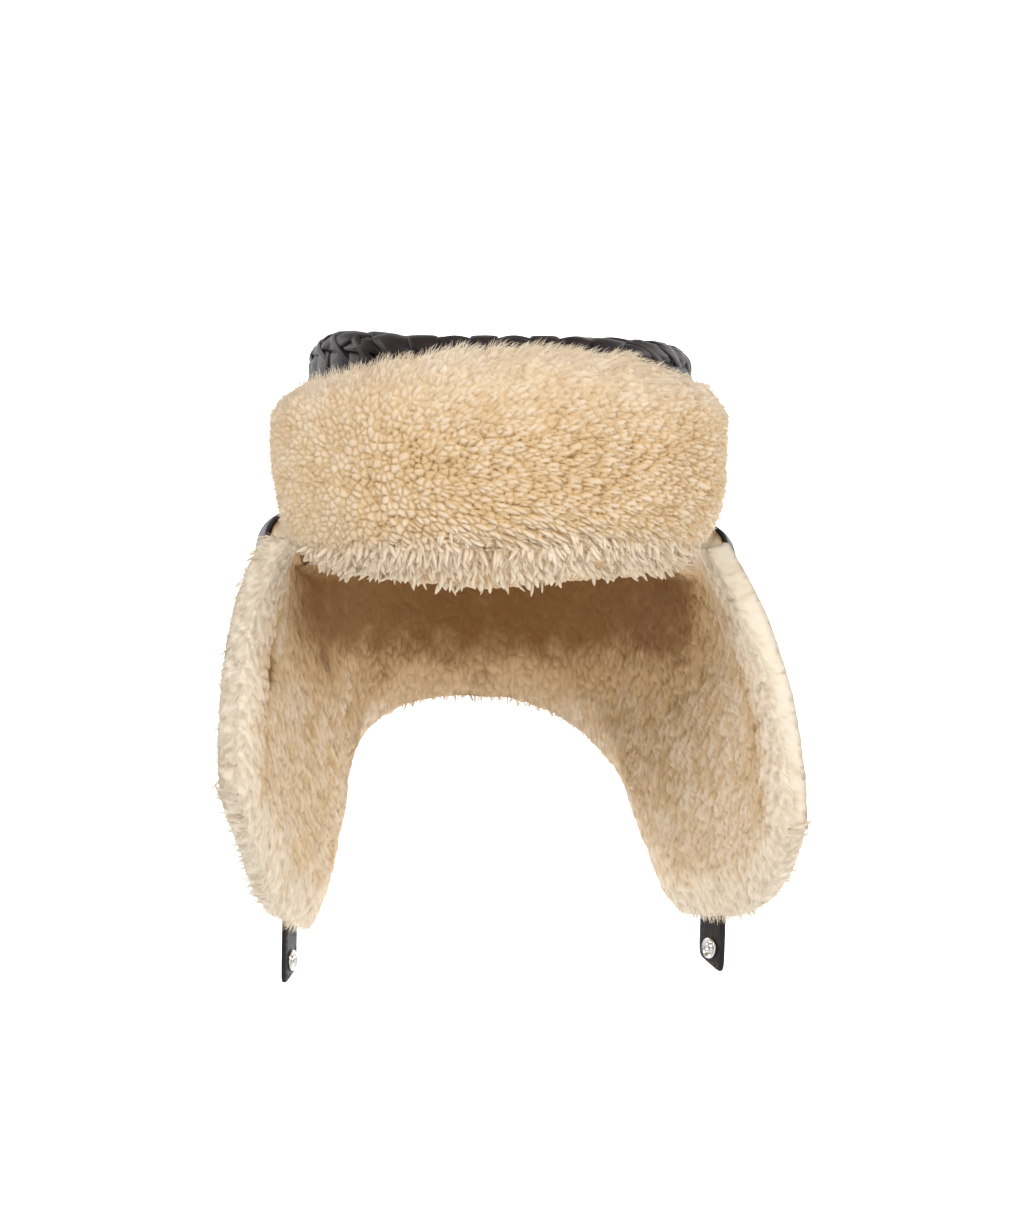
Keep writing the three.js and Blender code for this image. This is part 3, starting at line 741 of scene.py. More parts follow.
def pile_form(skin, height, sides_held, last_held, rim_steps, overhang):
    """Pile over a skin, without curls. Its height falls at the two side edges and the last
    row by a root of 1 - 3/4 nearness squared, it stands out over them by nearness squared,
    shared between them at a corner, and the rim rounds back to the skin by a cosine. Gives
    the grid with its rim and, for each point, how near the edge is."""
    normal = sheet_frame(skin)[2]
    nears = [nearness(distance) for distance in edge_distance(skin)]
    outs = [unit(skin[:, :1] - skin[:, 1:2]), unit(skin[:, -1:] - skin[:, -2:-1]),
            unit(skin[-1:] - skin[-2:-1])]
    rows, columns = skin.shape[:2]
    fall_rows = np.clip(np.arange(rows + rim_steps) - rows + 1, 0, None) / rim_steps
    column = np.arange(columns + 2 * rim_steps)
    fall_first = np.clip(rim_steps - column, 0, None) / rim_steps
    fall_second = np.clip(column - columns - rim_steps + 1, 0, None) / rim_steps
    falls = [fall_first[None], fall_second[None], fall_rows[:, None]]
    edge = rimmed(np.maximum.reduce(nears), rim_steps)
    rounding = np.prod(np.broadcast_arrays(*[np.cos(fall * np.pi / 2) for fall in falls]), 0)
    wrapped = np.maximum.reduce(np.broadcast_arrays(*falls)) * rim_wrap
    stand = rimmed(height, rim_steps) * (np.sqrt(1 - 0.75 * edge ** 2) * rounding - wrapped)
    form = rimmed(skin, rim_steps) + rimmed(normal, rim_steps) * stand[..., None]
    crowd = np.maximum(1, sum(near ** 2 for near in nears))
    for near, out, fall, hold in zip(nears, outs, falls, (sides_held, sides_held, last_held)):
        reach = rimmed(overhang * (near * hold) ** 2 / crowd, rim_steps) * (1 - 0.5 * fall)
        form = form + reach[..., None] * rimmed(np.broadcast_to(out, skin.shape), rim_steps)
    return form, edge


def pick_places(form, count, numbers, weight):
    """Chance places on a grid, as many on each quad as its area and weight give."""
    corner = np.cross(form[:-1, 1:] - form[:-1, :-1], form[1:, :-1] - form[:-1, :-1])
    area = np.linalg.norm(corner, axis=-1) * weight[:-1, :-1]
    total = np.cumsum(area.ravel())
    quad = np.searchsorted(total, numbers.random(count) * total[-1])
    row, column = np.unravel_index(quad, area.shape)
    return row, column, numbers.random(count), numbers.random(count)


def at_places(values, places):
    """Values of a grid at places within its quads, blended between the four corners."""
    row, column, up, across = places
    if values.ndim == 3:
        up, across = up[:, None], across[:, None]
    low = blended(values[row, column], values[row, column + 1], across)
    high = blended(values[row + 1, column], values[row + 1, column + 1], across)
    return blended(low, high, up)


def ribbons(root, path, side, width):
    """Fine locks: each a ribbon of two quads and a tip through four points of a path."""
    spread = side[:, None] * width[:, None, None] * np.array([1, 0.85, 0.55])[None, :, None] / 2
    centre = root[:, None] + path
    pairs = np.stack([centre[:, :3] - spread, centre[:, :3] + spread], 2).reshape(-1, 6, 3)
    points = np.concatenate([pairs, centre[:, 3:]], 1)
    start = 7 * np.arange(len(points))[:, None]
    quads = np.concatenate([start + [0, 1, 3, 2], start + [2, 3, 5, 4]])
    return points, [quads, start + [4, 5, 6]]


def surface_place(form, row, column):
    """Lengths over a grid to each point: along its rows from one column, and along its
    columns from one row."""
    across = np.linalg.norm(np.diff(form, axis=1, prepend=form[:, :1]), axis=-1).cumsum(1)
    down = np.linalg.norm(np.diff(form, axis=0, prepend=form[:1]), axis=-1).cumsum(0)
    return np.stack([across - across[:, column, None], down - down[row]], -1)


def tufts(place, flow, stretch, size, seed):
    """One tuft lies at a chance place in each square of a flat net, drawn out along the flow
    by the root of the stretch and narrowed by as much. Gives how far a point is inside its
    tuft, 0 at a crevice and 1 well inside, its share of the way from root, -1, to tip, 1,
    and a chance number of the tuft's own."""
    scaled = place / size
    cell = np.floor(scaled)
    nearest = np.full(place.shape[:-1], 9.0)
    second = nearest.copy()
    share = np.zeros(nearest.shape)
    own = np.zeros(nearest.shape)
    draw = np.sqrt(stretch)
    for step in np.stack(np.meshgrid(*[np.arange(-2, 3)] * 2), -1).reshape(-1, 2):
        other = cell + step
        jitter = np.stack([chance(other, seed + k) for k in range(2)], -1)
        offset = scaled - other - jitter
        along = np.sum(offset * flow, -1) / draw
        aside = (offset[..., 0] * flow[..., 1] - offset[..., 1] * flow[..., 0]) * draw
        distance = np.hypot(along, aside)
        closer = distance < nearest
        second = np.where(closer, nearest, np.minimum(second, distance))
        share = np.where(closer, along, share)
        own = np.where(closer, jitter[..., 0], own)
        nearest = np.where(closer, distance, nearest)
    inside = np.clip((second - nearest) / 0.42, 0, 1)
    return inside * (2 - inside), np.clip(1.6 * share, -1, 1), own


def pile_relief(form, place, flow, stretch, size, height, seed):
    """A form raised by small tufts in large ones, each a little higher at its tip than at its
    root. Gives it with a tone, 0 in a crevice and 1 on a tip, which paints shade into the
    crevices."""
    inside, share, own = tufts(place, flow, stretch, size, seed)
    large, _, _ = tufts(place, flow, stretch, 2.9 * size, seed + 3)
    lying = 0.35 * np.minimum(stretch - 1, 1)
    raised = height * (inside * (0.85 + lying * share + 0.3 * own) + 0.8 * large - 1.3)
    # Painted shade: the tone is lowest in the crevices between the tufts.
    tone = 0.08 + 0.6 * inside + 0.12 * own + 0.2 * large + 0.3 * lying * share
    return form + sheet_frame(form)[2] * raised[..., None], tone


def pile_body(name, first, face, back, nodes, tone, pale):
    """Closed body of a pile: a first row and its face in front, its backing carried on to as
    many rows behind, and their tones, 0 on the backing."""
    back = np.pad(back, [(1, len(face) - len(back)), (0, 0), (0, 0)], mode="edge")
    sheet = np.concatenate([np.concatenate([first, face]), back[:, ::-1]], 1)
    bare = np.zeros(back.shape[:2])
    tones = {key: np.concatenate([np.concatenate([values[:1], values]), bare], 1)
             for key, values in (("depth", tone), ("pale", pale))}
    make_piece(name, sheet, grid_faces(sheet.shape[:-1], round_columns=True), shearling,
               nodes, tones)


def wool_locks(name, face, smooth_form, places, flow, lean, length, width, tone, pale, clumping,
               numbers):
    """Fine locks on a pile's face. Each runs with the flow, leans out by its angle and bends
    back by 0.45 of the way squared, waves aside by a sine, and its tip is drawn to the middle
    of its clump. It is shaded by a normal near the pile's own."""
    normal = at_places(sheet_frame(smooth_form)[2], places)
    root = at_places(face, places) - normal * lock_sunk
    count = len(root)
    t = np.array([0, 1 / 3, 2 / 3, 1])[None, :, None]
    lean = np.radians(lean * numbers.uniform(0.5, 1.6, count))
    flow = unit(flow + lock_spread * numbers.standard_normal((count, 3)))
    flow = unit(flow - normal * np.sum(flow * normal, -1, keepdims=True))
    cross = np.cross(normal, flow)
    clump, _ = curl_cells(root + flow * 0.5 * length[:, None], clump_size, 31)
    clump = clump - normal * np.sum(clump * normal, -1, keepdims=True)
    reach = (length * np.cos(lean))[:, None, None] * t
    rise = (length * np.sin(lean))[:, None, None] * (t - 0.45 * t * t)
    wave = (length * lock_wave * numbers.standard_normal(count))[:, None, None] * np.sin(3.4 * t)
    path = flow[:, None] * reach + normal[:, None] * rise + cross[:, None] * wave \
        + clump[:, None] * clumping[:, None, None] * t ** 1.5
    heading = unit(path[:, 3] - path[:, 0])
    twist = numbers.uniform(-0.7, 0.7, count)[:, None]
    flat = unit(np.cross(heading, normal))
    side = unit(flat * np.cos(twist) + np.cross(heading, flat) * np.sin(twist))
    points, faces = ribbons(root, path, side, width)
    shade = at_places(tone, places) + numbers.uniform(-0.05, 0.05, count)
    depth = shade[:, None] + np.array([-0.08, -0.08, 0, 0, 0.06, 0.06, 0.1])
    lie = unit(normal[:, None] + 0.2 * heading[:, None] + 0.12 * np.cross(side, heading)[:, None])
    make_piece(name, points, faces, shearling, [],
               {"depth": depth, "pale": np.repeat(at_places(pale, places)[:, None], 7, 1)},
               False, np.repeat(lie, 7, 1))


def eased(share):
    """0 to 1 with a soft start and end: the share squared times 3 less twice the share."""
    share = np.clip(share, 0, 1)
    return share ** 2 * (3 - 2 * share)


pile_columns, pile_back_columns = 470, 90
curtain_rim = 4
pile_angle = np.linspace(*curtain_span, pile_columns)
pile_row = np.concatenate([np.linspace(0, roll_end, 20), np.linspace(roll_end, hem_row, 96)[1:]])
pile_skin = under_hide(curtain_point(pile_angle, pile_row[:, None]))
from_root = np.clip(pile_row / roll_end, 0, 1)[:, None]
inset = np.minimum(*edge_distance(pile_skin)[:2]) \
    + crease_wave * swell(pile_skin, crease_wave_size, 63)
hanging = np.sin(np.pi * np.clip((pile_row - roll_end) / (hem_row - roll_end), 0, 1))[:, None]
crease = np.exp(-(((inset - crease_inset) / crease_width) ** 2)) * hanging \
    * np.clip(0.6 + 0.9 * swell(pile_skin, crease_gap_size, 67), 0, 1)
curtain_form, curtain_edge = pile_form(pile_skin, curtain_pile - crease_depth * crease,
                                       side_hold * from_root, hem_hold, curtain_rim, pile_overhang)
wide_angle = np.pad(pile_angle, curtain_rim, mode="edge")
root_rows = pile_row < roll_end
first_hung = int(np.sum(root_rows))
inner_line = ring(wide_angle, -hide - fit - lining_pile, fur_start)
root_share = (pile_row[root_rows] / roll_end)[:, None, None]
curtain_form[:first_hung] = blended(inner_line, curtain_form[first_hung], root_share)
curtain_form = swollen(curtain_form, pile_swell, pile_swell_size, 7)
back_angle = np.linspace(*curtain_span, pile_back_columns)
curtain_back = under_hide(curtain_point(back_angle, pile_row[:, None]))
curtain_first = curtain_point(wide_angle, np.zeros(1))[None] - [0, 0, 2 * fit]
wide_inset, wide_crease = rimmed(inset, curtain_rim), rimmed(crease, curtain_rim)
pile_level = curtain_form[..., 2]

# Where the wool is flattened and shade is painted darker on it up inside the crown, where light
# is painted paler low down and towards the free edges of the ear flaps, and where the wool is
# shorter at the nape. Each is a share from 0 to 1.
shade_low, shade_rise = -0.167, 0.052
shade_wave, shade_wave_size = 0.006, 0.02
shade_inset, shade_inset_rise = 0.022, 0.06
free_level, free_level_rise = -0.17, 0.08
free_inset, free_inset_rise = 0.07, 0.045
nape_spread = 50
# Painted shade: the shade that the crown and the front flap cast inside the curtain is painted into
# the wool's tone from here up.
shade_edge = shade_low - shade_wave * swell(curtain_form, shade_wave_size, 71)
painted_shade_zone = eased((pile_level - shade_edge) / shade_rise) \
    * eased((wide_inset - shade_inset) / shade_inset_rise)
# Painted light: the wool is painted paler low down and towards the free front edges of the ear
# flaps, where more light reaches than up inside the crown.
flap_painted_light = np.maximum(eased((free_level - pile_level) / free_level_rise),
                       eased((free_inset - wide_inset) / free_inset_rise))
nape = np.exp(-((wide_angle / nape_spread) ** 2))

side_share = np.sign(wide_angle) * np.clip(np.abs(wide_angle) / 60 - 0.3, 0, 1)
parting = np.tanh((crease_inset - wide_inset) / crease_parting)
curtain_flow = unit(stacked(side_share * (0.15 + 0.65 * parting), 1, 0))[..., :2]
curtain_place = surface_place(curtain_form, first_hung, curtain_form.shape[1] // 2)
curtain_tuft_height = tuft_height * (1 - 0.3 * nape) * (1 - 0.55 * painted_shade_zone) \
    * (1 - 0.5 * curtain_edge)
curtain_face, curtain_tone = pile_relief(curtain_form, curtain_place, curtain_flow, tuft_stretch,
                                         tuft_size, curtain_tuft_height, 41)

# Tones: evener at the nape, evener and painted lighter on the free edges, painted darker in the
# crease as its shade, painted nearly root-dark in the shade under the crown, and pale along the
# rims where the tone isn't dark.
nape_tone, nape_even = 0.52, 0.5
free_tone, free_even = 0.9, 0.26
least_tone, tone_span = 0.1, 0.82
crease_painted_shade = 0.75
cloud_depth, cloud_size = 0.15, 0.013
shade_tone, shade_tone_span = -0.04, 0.06
rim_pale, plain_pale, free_pale = 0.7, 0.08, 0.13
curtain_tone = blended(curtain_tone, nape_tone, nape_even * nape)
curtain_tone = blended(curtain_tone, free_tone, free_even * flap_painted_light)
# Painted shade: the tone is lowered along the crease down each ear flap, where its clumps shade it.
lit_tone = least_tone + tone_span * curtain_tone - crease_painted_shade * wide_crease \
    + cloud_depth * swell(curtain_form, cloud_size, 61)
# Painted shade: under the crown the tone is drawn down to nearly the root colour.
curtain_tone = blended(lit_tone, shade_tone_span * curtain_tone + shade_tone, painted_shade_zone)
curtain_pale = (rim_pale * curtain_edge + plain_pale + free_pale * flap_painted_light) \
    * np.clip(curtain_tone * 1.5, 0, 1) * (1 - painted_shade_zone) * (1 - 0.6 * nape)
pile_body("curtain_shearling_curls", curtain_first, curtain_face, curtain_back,
          ["curtain_shearling"], curtain_tone, curtain_pale)

# Fine locks over the curls, in three parts: name, first and last bearing, count. Their
# length, lean in degrees and clumping go from the pile's middle to its edge.
lock_parts = (("right", -113, -46, 18000), ("neck", -46, 46, 11000), ("left", 46, 113, 18000))
lock_width = 0.00036
lock_length = (0.0045, 0.0068)
lock_lean = (9, 18)
lock_clumping = (0.35, 0.6)
length_chance, width_chance = (0.7, 1.2), (0.7, 1.3)
curtain_numbers = np.random.default_rng(11)
wide_pile_row = np.pad(pile_row, (0, curtain_rim), mode="edge")[:, None]
across_way, down_way, _ = sheet_frame(curtain_form)
curtain_way = across_way * curtain_flow[..., :1] + down_way * curtain_flow[..., 1:]
lock_weight = (0.3 + 0.7 * np.clip(wide_pile_row / roll_end, 0, 1)) * (1 - 0.7 * wide_crease) \
    * (1 + 1.2 * curtain_edge ** 2)
for part, low, high, count in lock_parts:
    weight = lock_weight * ((wide_angle >= low) & (wide_angle < high))
    places = pick_places(curtain_form, count, curtain_numbers, weight)
    near = at_places(curtain_edge, places)
    length = blended(*lock_length, near) * curtain_numbers.uniform(*length_chance, count)
    width = lock_width * curtain_numbers.uniform(*width_chance, count)
    wool_locks(f"curtain_locks_{part}", curtain_face, curtain_form, places,
               at_places(curtain_way, places), blended(*lock_lean, near), length, width,
               curtain_tone, curtain_pale, blended(*lock_clumping, near), curtain_numbers)


# Front flap: sewn under the crown's edge, folded up in front of it and standing a little
# away, the finished leather towards the crown.
front_flap_height = 0.087
front_flap_half_width = 0.096
front_flap_stand = 0.009
front_flap_sweep = 0.047
front_flap_arc = 70
front_flap_bearing = 54
front_lean = 4
front_top_fall = 0.13
front_corner_fall = 0.08
front_pile = 0.016
fold_radius = 0.002
fold_rows, flap_top_row = 2, 10
front_wrinkle_rise, front_wrinkle_size = 0.0006, 0.02
front_hide_worn = 0.4


def front_point(share, row):
    """Finished face: under the edge in row 0 to 1, a quarter fold to row 3, then up to row
    10, leaning out by a power of the height, on an arc swept back at the sides."""
    angle = 180 + front_flap_bearing * share
    front = weave_rise + 2 * seam_ease
    turn = np.pi / 2 * np.clip((row - 1) / fold_rows, 0, 1)
    under = blended(-hide, front - fold_radius, np.clip(row, 0, 1)) + fold_radius * np.sin(turn)
    root = ring(angle, under, crown_edge - 2 * fit + fold_radius * (1 - np.cos(turn)))
    risen = np.clip((row - 1 - fold_rows) / (flap_top_row - 1 - fold_rows), 0, 1)
    stand = 1 - (1 - risen) ** front_lean
    sweep = np.radians(front_flap_arc)
    back = (1 - np.cos(share * sweep)) / (1 - np.cos(sweep))
    x = -front_flap_half_width * np.sin(share * sweep) / np.sin(sweep)
    y = -wall_along - front_flap_stand + front_flap_sweep * back
    fall = front_top_fall * share ** 2 + front_corner_fall * share ** 8
    top = crown_edge + front_flap_height * (1 - fall)
    return stacked(blended(root[..., 0], x, stand), blended(root[..., 1], y, stand),
                   blended(root[..., 2], top, risen))


front_share = np.linspace(-1, 1, 80)
folded_row = 1 + fold_rows
front_row = np.concatenate([np.linspace(0, folded_row, 13),
                            np.linspace(folded_row, flap_top_row, 40)[1:]])
front_finished = front_point(front_share, front_row[:, None])
front_out = sheet_frame(front_finished)[2]
front_wrinkle = front_wrinkle_rise * swell(front_finished, front_wrinkle_size, 23) \
    * np.clip(front_row / folded_row - 1, 0, 1)[:, None]
front_sheet = closed_sheet(front_finished - front_out * front_wrinkle[..., None],
                           front_finished + front_out * hide)
leather_tubes("front_flap_hide", front_sheet, smooth_leather,
              ["front_flap_leather"], front_hide_worn)


# Front flap, outside: the curliest pile of the hat, tight curls in the middle, brushed out
# smooth and paler along the top and the sides, with pointed tufts along the fold.
front_rim = 4
front_overhang = 0.002
top_rise, top_middle, top_spread = 0.0075, -0.18, 0.5
top_wave, top_wave_share = 0.001, 0.06
front_tuft_size = 0.0035
front_tuft_height = 0.0016
whorl_share, whorl_rise = 0.46, 0.42
whorl_core, whorl_reach = 0.004, 0.06
hem_middle, hem_spread = 0.08, 0.45
hem_rise = 0.0065
hem_bare = 0.0065
front_swell, front_swell_size = 0.0013, 0.02
front_columns, front_back_columns = 390, 50
front_pile_share = np.linspace(-1, 1, front_columns)
front_pile_row = np.concatenate([np.linspace(0, 1, 17), np.linspace(1, folded_row, 10)[1:],
                                 np.linspace(folded_row, flap_top_row, 146)[1:]])
front_skin = under_hide(front_point(front_pile_share, front_pile_row[:, None]))
front_held = np.clip(front_pile_row / folded_row, 0, 1)[:, None]
front_form, front_edge = pile_form(front_skin, np.full(front_skin.shape[:2], front_pile),
                                   front_held, 1, front_rim, front_overhang)
wide_share = np.pad(front_pile_share, front_rim, mode="edge")
under_rows = int(np.sum(front_pile_row < 1))
under_share = front_pile_row[:under_rows, None, None]
under_line = ring(180 + front_flap_bearing * wide_share, -hide - fit - lining_pile, fur_start)
front_form[:under_rows] = blended(under_line, front_form[under_rows], under_share)
front_form[:under_rows, :, 2] -= front_pile / 3 * np.sin(np.pi * under_share[..., 0]) \
    * (1 - 0.7 * wide_share ** 2)
front_form = swollen(front_form, front_swell, front_swell_size, 9)
wide_row = np.pad(front_pile_row, (0, front_rim), mode="edge")[:, None]
front_risen = np.clip((wide_row - folded_row) / (flap_top_row - folded_row), 0, 1)
top_lift = top_rise * np.exp(-(((wide_share - top_middle) / top_spread) ** 2)) \
    + top_wave * swell(stacked(wide_share, 0, 0), top_wave_share, 68)
front_form[..., 2] += top_lift * np.clip((front_risen - 0.55) / 0.45, 0, 1) ** 2
hem_lift = hem_bare \
    + hem_rise * (1 - np.exp(-((np.abs(wide_share - hem_middle) / hem_spread) ** 1.6)))
hem_lift = hem_lift * np.clip(wide_row, 0, 1) * np.clip(1 - front_risen / 0.35, 0, 1) ** 2
front_form[..., 2] += hem_lift
front_smooth = np.clip(np.maximum((front_risen - 0.6) / 0.3,
                                  (np.abs(wide_share + 0.15) - 0.55) / 0.4), 0, 1)
whorl = [int(np.argmin(np.abs(front_risen - whorl_rise))),
         int(np.argmin(np.abs(wide_share - whorl_share)))]
from_whorl = surface_place(front_form, *whorl)
front_away = np.linalg.norm(from_whorl, axis=-1)
front_flow = from_whorl / np.hypot(front_away, whorl_core)[..., None]
front_flow = unit(front_flow - [0, 0.35] * (1 - np.clip(front_risen / 0.3, 0, 1))[..., None])
front_stretch = 1 + 2 * np.clip(front_away / whorl_reach - 0.25, 0, 1)
front_hem = np.clip(1 - front_risen / 0.2, 0, 1) * np.clip(wide_row - 1.5, 0, 1) \
    * np.ones(front_edge.shape)
front_face, front_tone = pile_relief(
    front_form, from_whorl, front_flow, front_stretch, front_tuft_size,
    front_tuft_height * (1 - 0.5 * front_smooth + 0.6 * front_hem), 51)

# Tones: evener on the brushed rims, with slow clouds, and pale towards the rims and the fold.
smooth_tone, smooth_even = 0.68, 0.4
front_tone_span = 0.88
front_cloud_depth, front_cloud_size = 0.13, 0.014
front_clouds = front_cloud_depth * swell(front_form, front_cloud_size, 62) \
    * (0.4 + 0.6 * front_smooth)
front_tone = front_tone_span * blended(front_tone, smooth_tone, smooth_even * front_smooth) \
    + front_clouds
front_pale = np.clip(0.2 * front_smooth + 0.5 * front_edge ** 2 + 0.3 * front_hem, 0, 0.7) \
    * np.clip(front_tone * 1.4, 0, 1)
front_back_share = np.linspace(-1, 1, front_back_columns)
front_back = under_hide(front_point(front_back_share, front_pile_row[:, None]))
front_first = front_point(wide_share, np.zeros(1))[None]
pile_body("front_flap_curls", front_first, front_face, front_back, ["front_flap_shearling"],
          front_tone, front_pale)

# Fine locks over the curls, longer on the brushed rims and longest round the fold.
front_count = 22000
front_lock_length = (0.0032, 0.0055)
hem_lock_more, rim_lock_more = 0.005, 0.002
hem_lock_width = 1.25 * lock_width
front_numbers = np.random.default_rng(12)
front_weight = (0.3 + 0.7 * front_smooth + 1.4 * front_hem + 1.5 * front_edge ** 2) \
    * np.clip(wide_row - 0.5, 0.1, 1)
front_places = pick_places(front_form, front_count, front_numbers, front_weight)
across_way, up_way, _ = sheet_frame(front_form)
front_way = across_way * front_flow[..., :1] + up_way * front_flow[..., 1:]
near = at_places(front_edge, front_places)
hem = at_places(front_hem, front_places)
smoothness = at_places(front_smooth, front_places)
length = blended(*front_lock_length, smoothness) + hem_lock_more * hem + rim_lock_more * near
length = length * front_numbers.uniform(*length_chance, front_count)
width = blended(lock_width, hem_lock_width, hem) \
    * front_numbers.uniform(*width_chance, front_count)
wool_locks("front_flap_locks", front_face, front_form, front_places,
           at_places(front_way, front_places), 9 + 24 * near + 12 * hem, length, width,
           front_tone, front_pale, 0.3 + 0.55 * hem, front_numbers)


# Hem of the front flap: pointed tufts of long wool round the fold, which hang over it.
hem_tuft_count = 2300
tuft_way = np.array([0, 0.3, 0.6, 0.85, 1])
tuft_girth = np.array([0.7, 1, 0.9, 0.5, 0.05])
tuft_tones = np.array([0.7, 0.84, 0.92, 0.97, 1])
tuft_sides = 5
tuft_sunk = 0.0017
tuft_length = (0.0045, 0.0085)
tuft_radius = (0.0008, 0.0017)
tuft_flatness = 0.55
tuft_bow = 0.1
tuft_pale = 0.28
tuft_tone_chance = 0.1
hem_numbers = np.random.default_rng(13)
hem_weight = np.clip(1 - front_risen / 0.14, 0, 1) ** 0.5 * np.clip(wide_row - 0.9, 0, 1) \
    * (1 + 1.5 * wide_share ** 6)
hem_places = pick_places(front_form, hem_tuft_count, hem_numbers, hem_weight)
tuft_normal = at_places(sheet_frame(front_form)[2], hem_places)
tuft_root = at_places(front_face, hem_places) - tuft_normal * tuft_sunk
tuft_aside = np.interp(hem_places[1], np.arange(len(wide_share)), wide_share)
hang = unit(stacked(0.1 - 0.7 * tuft_aside + 0.3 * hem_numbers.standard_normal(hem_tuft_count),
                    -0.15, -1))
hang_out = np.sum(hang * tuft_normal, -1, keepdims=True)
hang = unit(hang - tuft_normal * (0.5 * hang_out - 0.05))
tuft_long = hem_numbers.uniform(*tuft_length, hem_tuft_count)
tuft_broad = hem_numbers.uniform(*tuft_radius, hem_tuft_count)
tuft_level = unit(np.cross(hang, tuft_normal))
tuft_thick = np.cross(tuft_level, hang)
tuft_turn = 2 * np.pi * np.arange(tuft_sides) / tuft_sides
tuft_line = tuft_root[:, None] + hang[:, None] * (tuft_long[:, None] * tuft_way)[..., None] \
    + tuft_normal[:, None] * (tuft_bow * tuft_long[:, None] * np.sin(np.pi * tuft_way))[..., None]
tuft_round = tuft_level[:, None, None] * np.cos(tuft_turn)[:, None] \
    + tuft_flatness * tuft_thick[:, None, None] * np.sin(tuft_turn)[:, None]
hem_tufts = tuft_line[:, :, None] + tuft_round * (tuft_broad[:, None] * tuft_girth)[..., None, None]
tuft_shade = hem_numbers.uniform(-tuft_tone_chance, tuft_tone_chance, hem_tuft_count)[:, None, None]
hem_depth = tuft_tones[:, None] + tuft_shade + np.zeros(tuft_sides)
make_piece("front_flap_hem_tufts", hem_tufts, grid_faces(hem_tufts.shape[:-1], round_columns=True),
           shearling, [], {"depth": hem_depth, "pale": tuft_pale * hem_depth})


# Snap tabs: a leather tab sewn under the tip of each ear flap, hanging in the hide's plane,
# with its foot cut at a slant and a row of stitches round it.
tab_width = 0.019
tab_length = 0.038
tab_thick = 0.0024
tab_slant = 0.007
tab_bearing = {"right": -79, "left": 74}
tab_columns = 28
tab_sides = 72
tab_rounding = 0.28
tab_seam_inset, tab_seam_steps = 0.0022, 200
tab_stitch_pitch, tab_stitch_length, tab_stitch_radius = 0.0034, 0.0025, 0.00028
# inset of the tab's outline in millimetres, and its share of half the thickness
tab_rings = np.array([(9.4, 1), (5, 1), (1, 1), (0.35, 0.85), (0, 0.35),
                      (0, -0.35), (0.35, -0.85), (1, -1), (5, -1), (9.4, -1)])


def tab_place(bearing):
    """Origin and three axes of a tab, from the stretch of hem at its bearing: along the hem,
    up the hide and facing the head."""
    step = (curtain_span[1] - curtain_span[0]) / tab_columns
    first = curtain_span[0] + step * np.floor((bearing - curtain_span[0]) / step)
    stretch = curtain_point(np.array([first, first + step]), np.array([[hem_row - 1], [hem_row]]))
    start, end = stretch[1]
    along = unit(end - start)
    hang = start - stretch[0, 0]
    up = -unit(hang - along * (hang @ along))
    facing = np.cross(along, up)
    drops = unit(stretch[1] - stretch[0])
    normal = unit(np.cross(drops, along)).mean(0)
    return (start + end) / 2 + normal * hide / 2 - up * fit, np.stack([along, up, facing])


def tab_outline(turn, inset, slant_side):
    """Rounded oblong by the fourth root of sine and cosine, its foot cut at a slant."""
    across = np.sign(np.cos(turn)) * np.abs(np.cos(turn)) ** tab_rounding
    down = np.sign(np.sin(turn)) * np.abs(np.sin(turn)) ** tab_rounding
    x = across * (tab_width / 2 - inset)
    foot = -tab_length + tab_slant * (0.5 - slant_side * across / 2) + inset
    return x, blended(foot, -inset, (down + 1) / 2)


def ended_tube(name, rings, material, nodes, tones):
    """A tube through rings of points, closed by a flat end on its first and last ring."""
    first = np.arange(rings.shape[1])[None]
    faces = [grid_faces(rings.shape[:-1], round_columns=True), first[:, ::-1],
             first + rings.shape[1] * (len(rings) - 1)]
    make_piece(name, rings, faces, material, nodes, tones)


for wearer_side, bearing in tab_bearing.items():
    origin, axes = tab_place(bearing)
    tab_turn = 2 * np.pi * np.arange(tab_sides) / tab_sides
    tab_x, tab_y = tab_outline(tab_turn, tab_rings[:, :1] * 0.001, np.sign(bearing))
    plate = stacked(tab_x, tab_y, tab_rings[:, 1:] * tab_thick / 2) @ axes + origin
    ended_tube(f"tab_{wearer_side}_leather", plate, smooth_leather,
               [f"tab_{wearer_side}"], {"crest": np.full(plate.shape[:-1], 0.5)})
    seam_turn = np.linspace(0, 2 * np.pi, tab_seam_steps)
    seam_x, seam_y = tab_outline(seam_turn, tab_seam_inset, np.sign(bearing))
    tab_seams = []
    for face_side in (1, -1):
        seam = stacked(seam_x, seam_y, face_side * tab_thick / 2) @ axes + origin
        lay = np.broadcast_to(axes[2] * face_side, seam.shape)
        tab_seams.append(stitches(seam, lay, tab_stitch_pitch, tab_stitch_length,
                                  tab_stitch_radius))
    tab_seams = np.concatenate(tab_seams)
    leather_tubes(f"tab_{wearer_side}_stitches", tab_seams, thread, [], 0.5)


# Snaps: a domed cap outside each tab, a neck through it, and a ringed socket with a raised
# eye on the inner side, turned from nickelled metal.
metal_sides = 40
snap_radius = 0.0054
snap_neck = 0.0022
snap_rise = 0.0019
snap_inset = 0.012
# share of the radius, face of the tab, share of the rise above that face
snap_profile = np.array([
    (0.02, -1, 1), (0.5, -1, 0.9), (0.85, -1, 0.6), (1, -1, 0.25), (1, -1, 0),
    (snap_neck / snap_radius, -1, 0), (snap_neck / snap_radius, 1, 0), (0.97, 1, 0),
    (1, 1, 0.3), (0.94, 1, 0.7), (0.86, 1, 0.85), (0.76, 1, 0.7), (0.7, 1, 0.25),
    (0.5, 1, 0.25), (0.46, 1, 0.8), (0.34, 1, 1), (0.26, 1, 0.9), (0.2, 1, 0.1), (0.02, 1, 0.1)])
snap_colour = (0.62, 0.61, 0.58, 1)
snap_metal = plain_material("snap_metal", {"Base Color": snap_colour, "Metallic": 1,
                                           "Roughness": 0.28})[0]

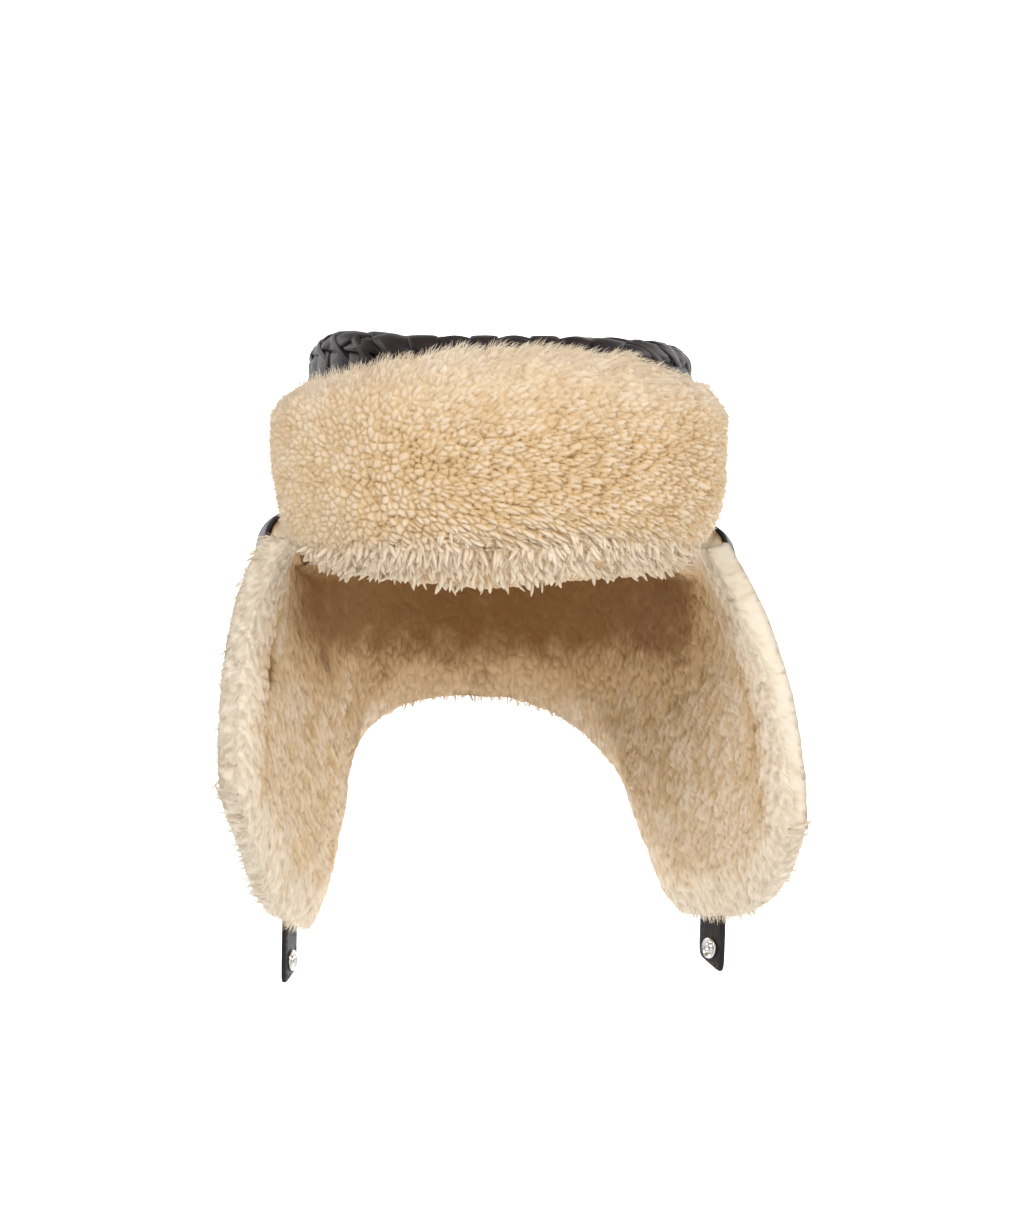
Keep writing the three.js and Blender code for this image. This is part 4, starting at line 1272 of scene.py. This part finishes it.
for wearer_side, bearing in tab_bearing.items():
    origin, axes = tab_place(bearing)
    spin = 2 * np.pi * np.arange(metal_sides) / metal_sides
    reach, face_side, rise = snap_profile.T[..., None]
    snap = stacked(snap_radius * reach * np.cos(spin),
                   snap_radius * reach * np.sin(spin) + snap_inset - tab_length,
                   face_side * (tab_thick / 2 + snap_rise * rise)) @ axes + origin
    ended_tube(f"snap_{wearer_side}_metal", snap, snap_metal,
               [f"snap_{wearer_side}"], {})


# Studio floor and backdrop: one pale sheet, curved up behind.
sheet_profile = np.array([(-3.0, -0.75), (1.6, -0.75), (2.1, -0.7), (2.45, -0.5), (2.6, -0.1),
                          (2.65, 0.6), (2.65, 3.0)])
backdrop_points = stacked(np.array([-4.0, 4.0]), sheet_profile[:, :1], sheet_profile[:, 1:])
backdrop_mesh = bpy.data.meshes.new("backdrop")
backdrop_mesh.from_pydata(backdrop_points.reshape(-1, 3).tolist(), [],
                          grid_faces(backdrop_points.shape[:-1]).tolist())
backdrop = bpy.data.objects.new("backdrop", backdrop_mesh)
bpy.context.scene.collection.objects.link(backdrop)
backdrop_paint = plain_material("backdrop_paint", {"Base Color": (0.93, 0.93, 0.93, 1),
                                                   "Roughness": 0.9})[0]
backdrop_mesh.materials.append(backdrop_paint)


# Light: a weak white surround, broad lamps high in front, above and low in front, and two
# behind the hat that turn the backdrop white.
surround = bpy.data.worlds.new("studio_surround")
surround.use_nodes = True
surround.node_tree.nodes["Background"].inputs["Color"].default_value = (1, 1, 1, 1)
surround.node_tree.nodes["Background"].inputs["Strength"].default_value = 0.28
bpy.context.scene.world = surround


def lamp(name, place, aim, size, power):
    """A square lamp at a place, turned to face its aim."""
    light = bpy.data.lights.new(name, "AREA")
    light.size = size
    light.energy = power
    holder = bpy.data.objects.new(name, light)
    holder.location = place
    heading = np.array(place) - np.array(aim)
    flat = np.hypot(heading[0], heading[1])
    holder.rotation_euler = (np.arctan2(flat, heading[2]), 0, np.arctan2(heading[0], -heading[1]))
    bpy.context.scene.collection.objects.link(holder)


hat_middle = (0, 0, -0.1)
lamp("key_lamp", (-0.7, -1.6, 1.2), hat_middle, 0.9, 22.5)
lamp("top_lamp", (0.3, -0.5, 1.6), hat_middle, 1.2, 3)
lamp("fill_lamp", (1.4, -1.5, 0.6), hat_middle, 1.2, 16)
lamp("low_lamp", (0.1, -1.7, -0.55), hat_middle, 1.0, 6)
lamp("backdrop_lamp_left", (-1.6, 0.9, 0.6), (-0.5, 2.6, -0.4), 1.0, 60)
lamp("backdrop_lamp_right", (1.6, 0.9, 0.6), (0.5, 2.6, -0.4), 1.0, 60)


# Camera: level, in front of the hat and a little below its middle.
camera_lens = bpy.data.cameras.new("camera")
camera_lens.sensor_fit = "HORIZONTAL"
camera_lens.sensor_width = 36
camera_lens.lens = 113.6
camera = bpy.data.objects.new("camera", camera_lens)
camera.location = (0.0059, -1.6, -0.116)
camera.rotation_euler = (np.pi / 2, 0, 0)
bpy.context.scene.collection.objects.link(camera)
bpy.context.scene.camera = camera
bpy.context.scene.view_settings.view_transform = "Standard"
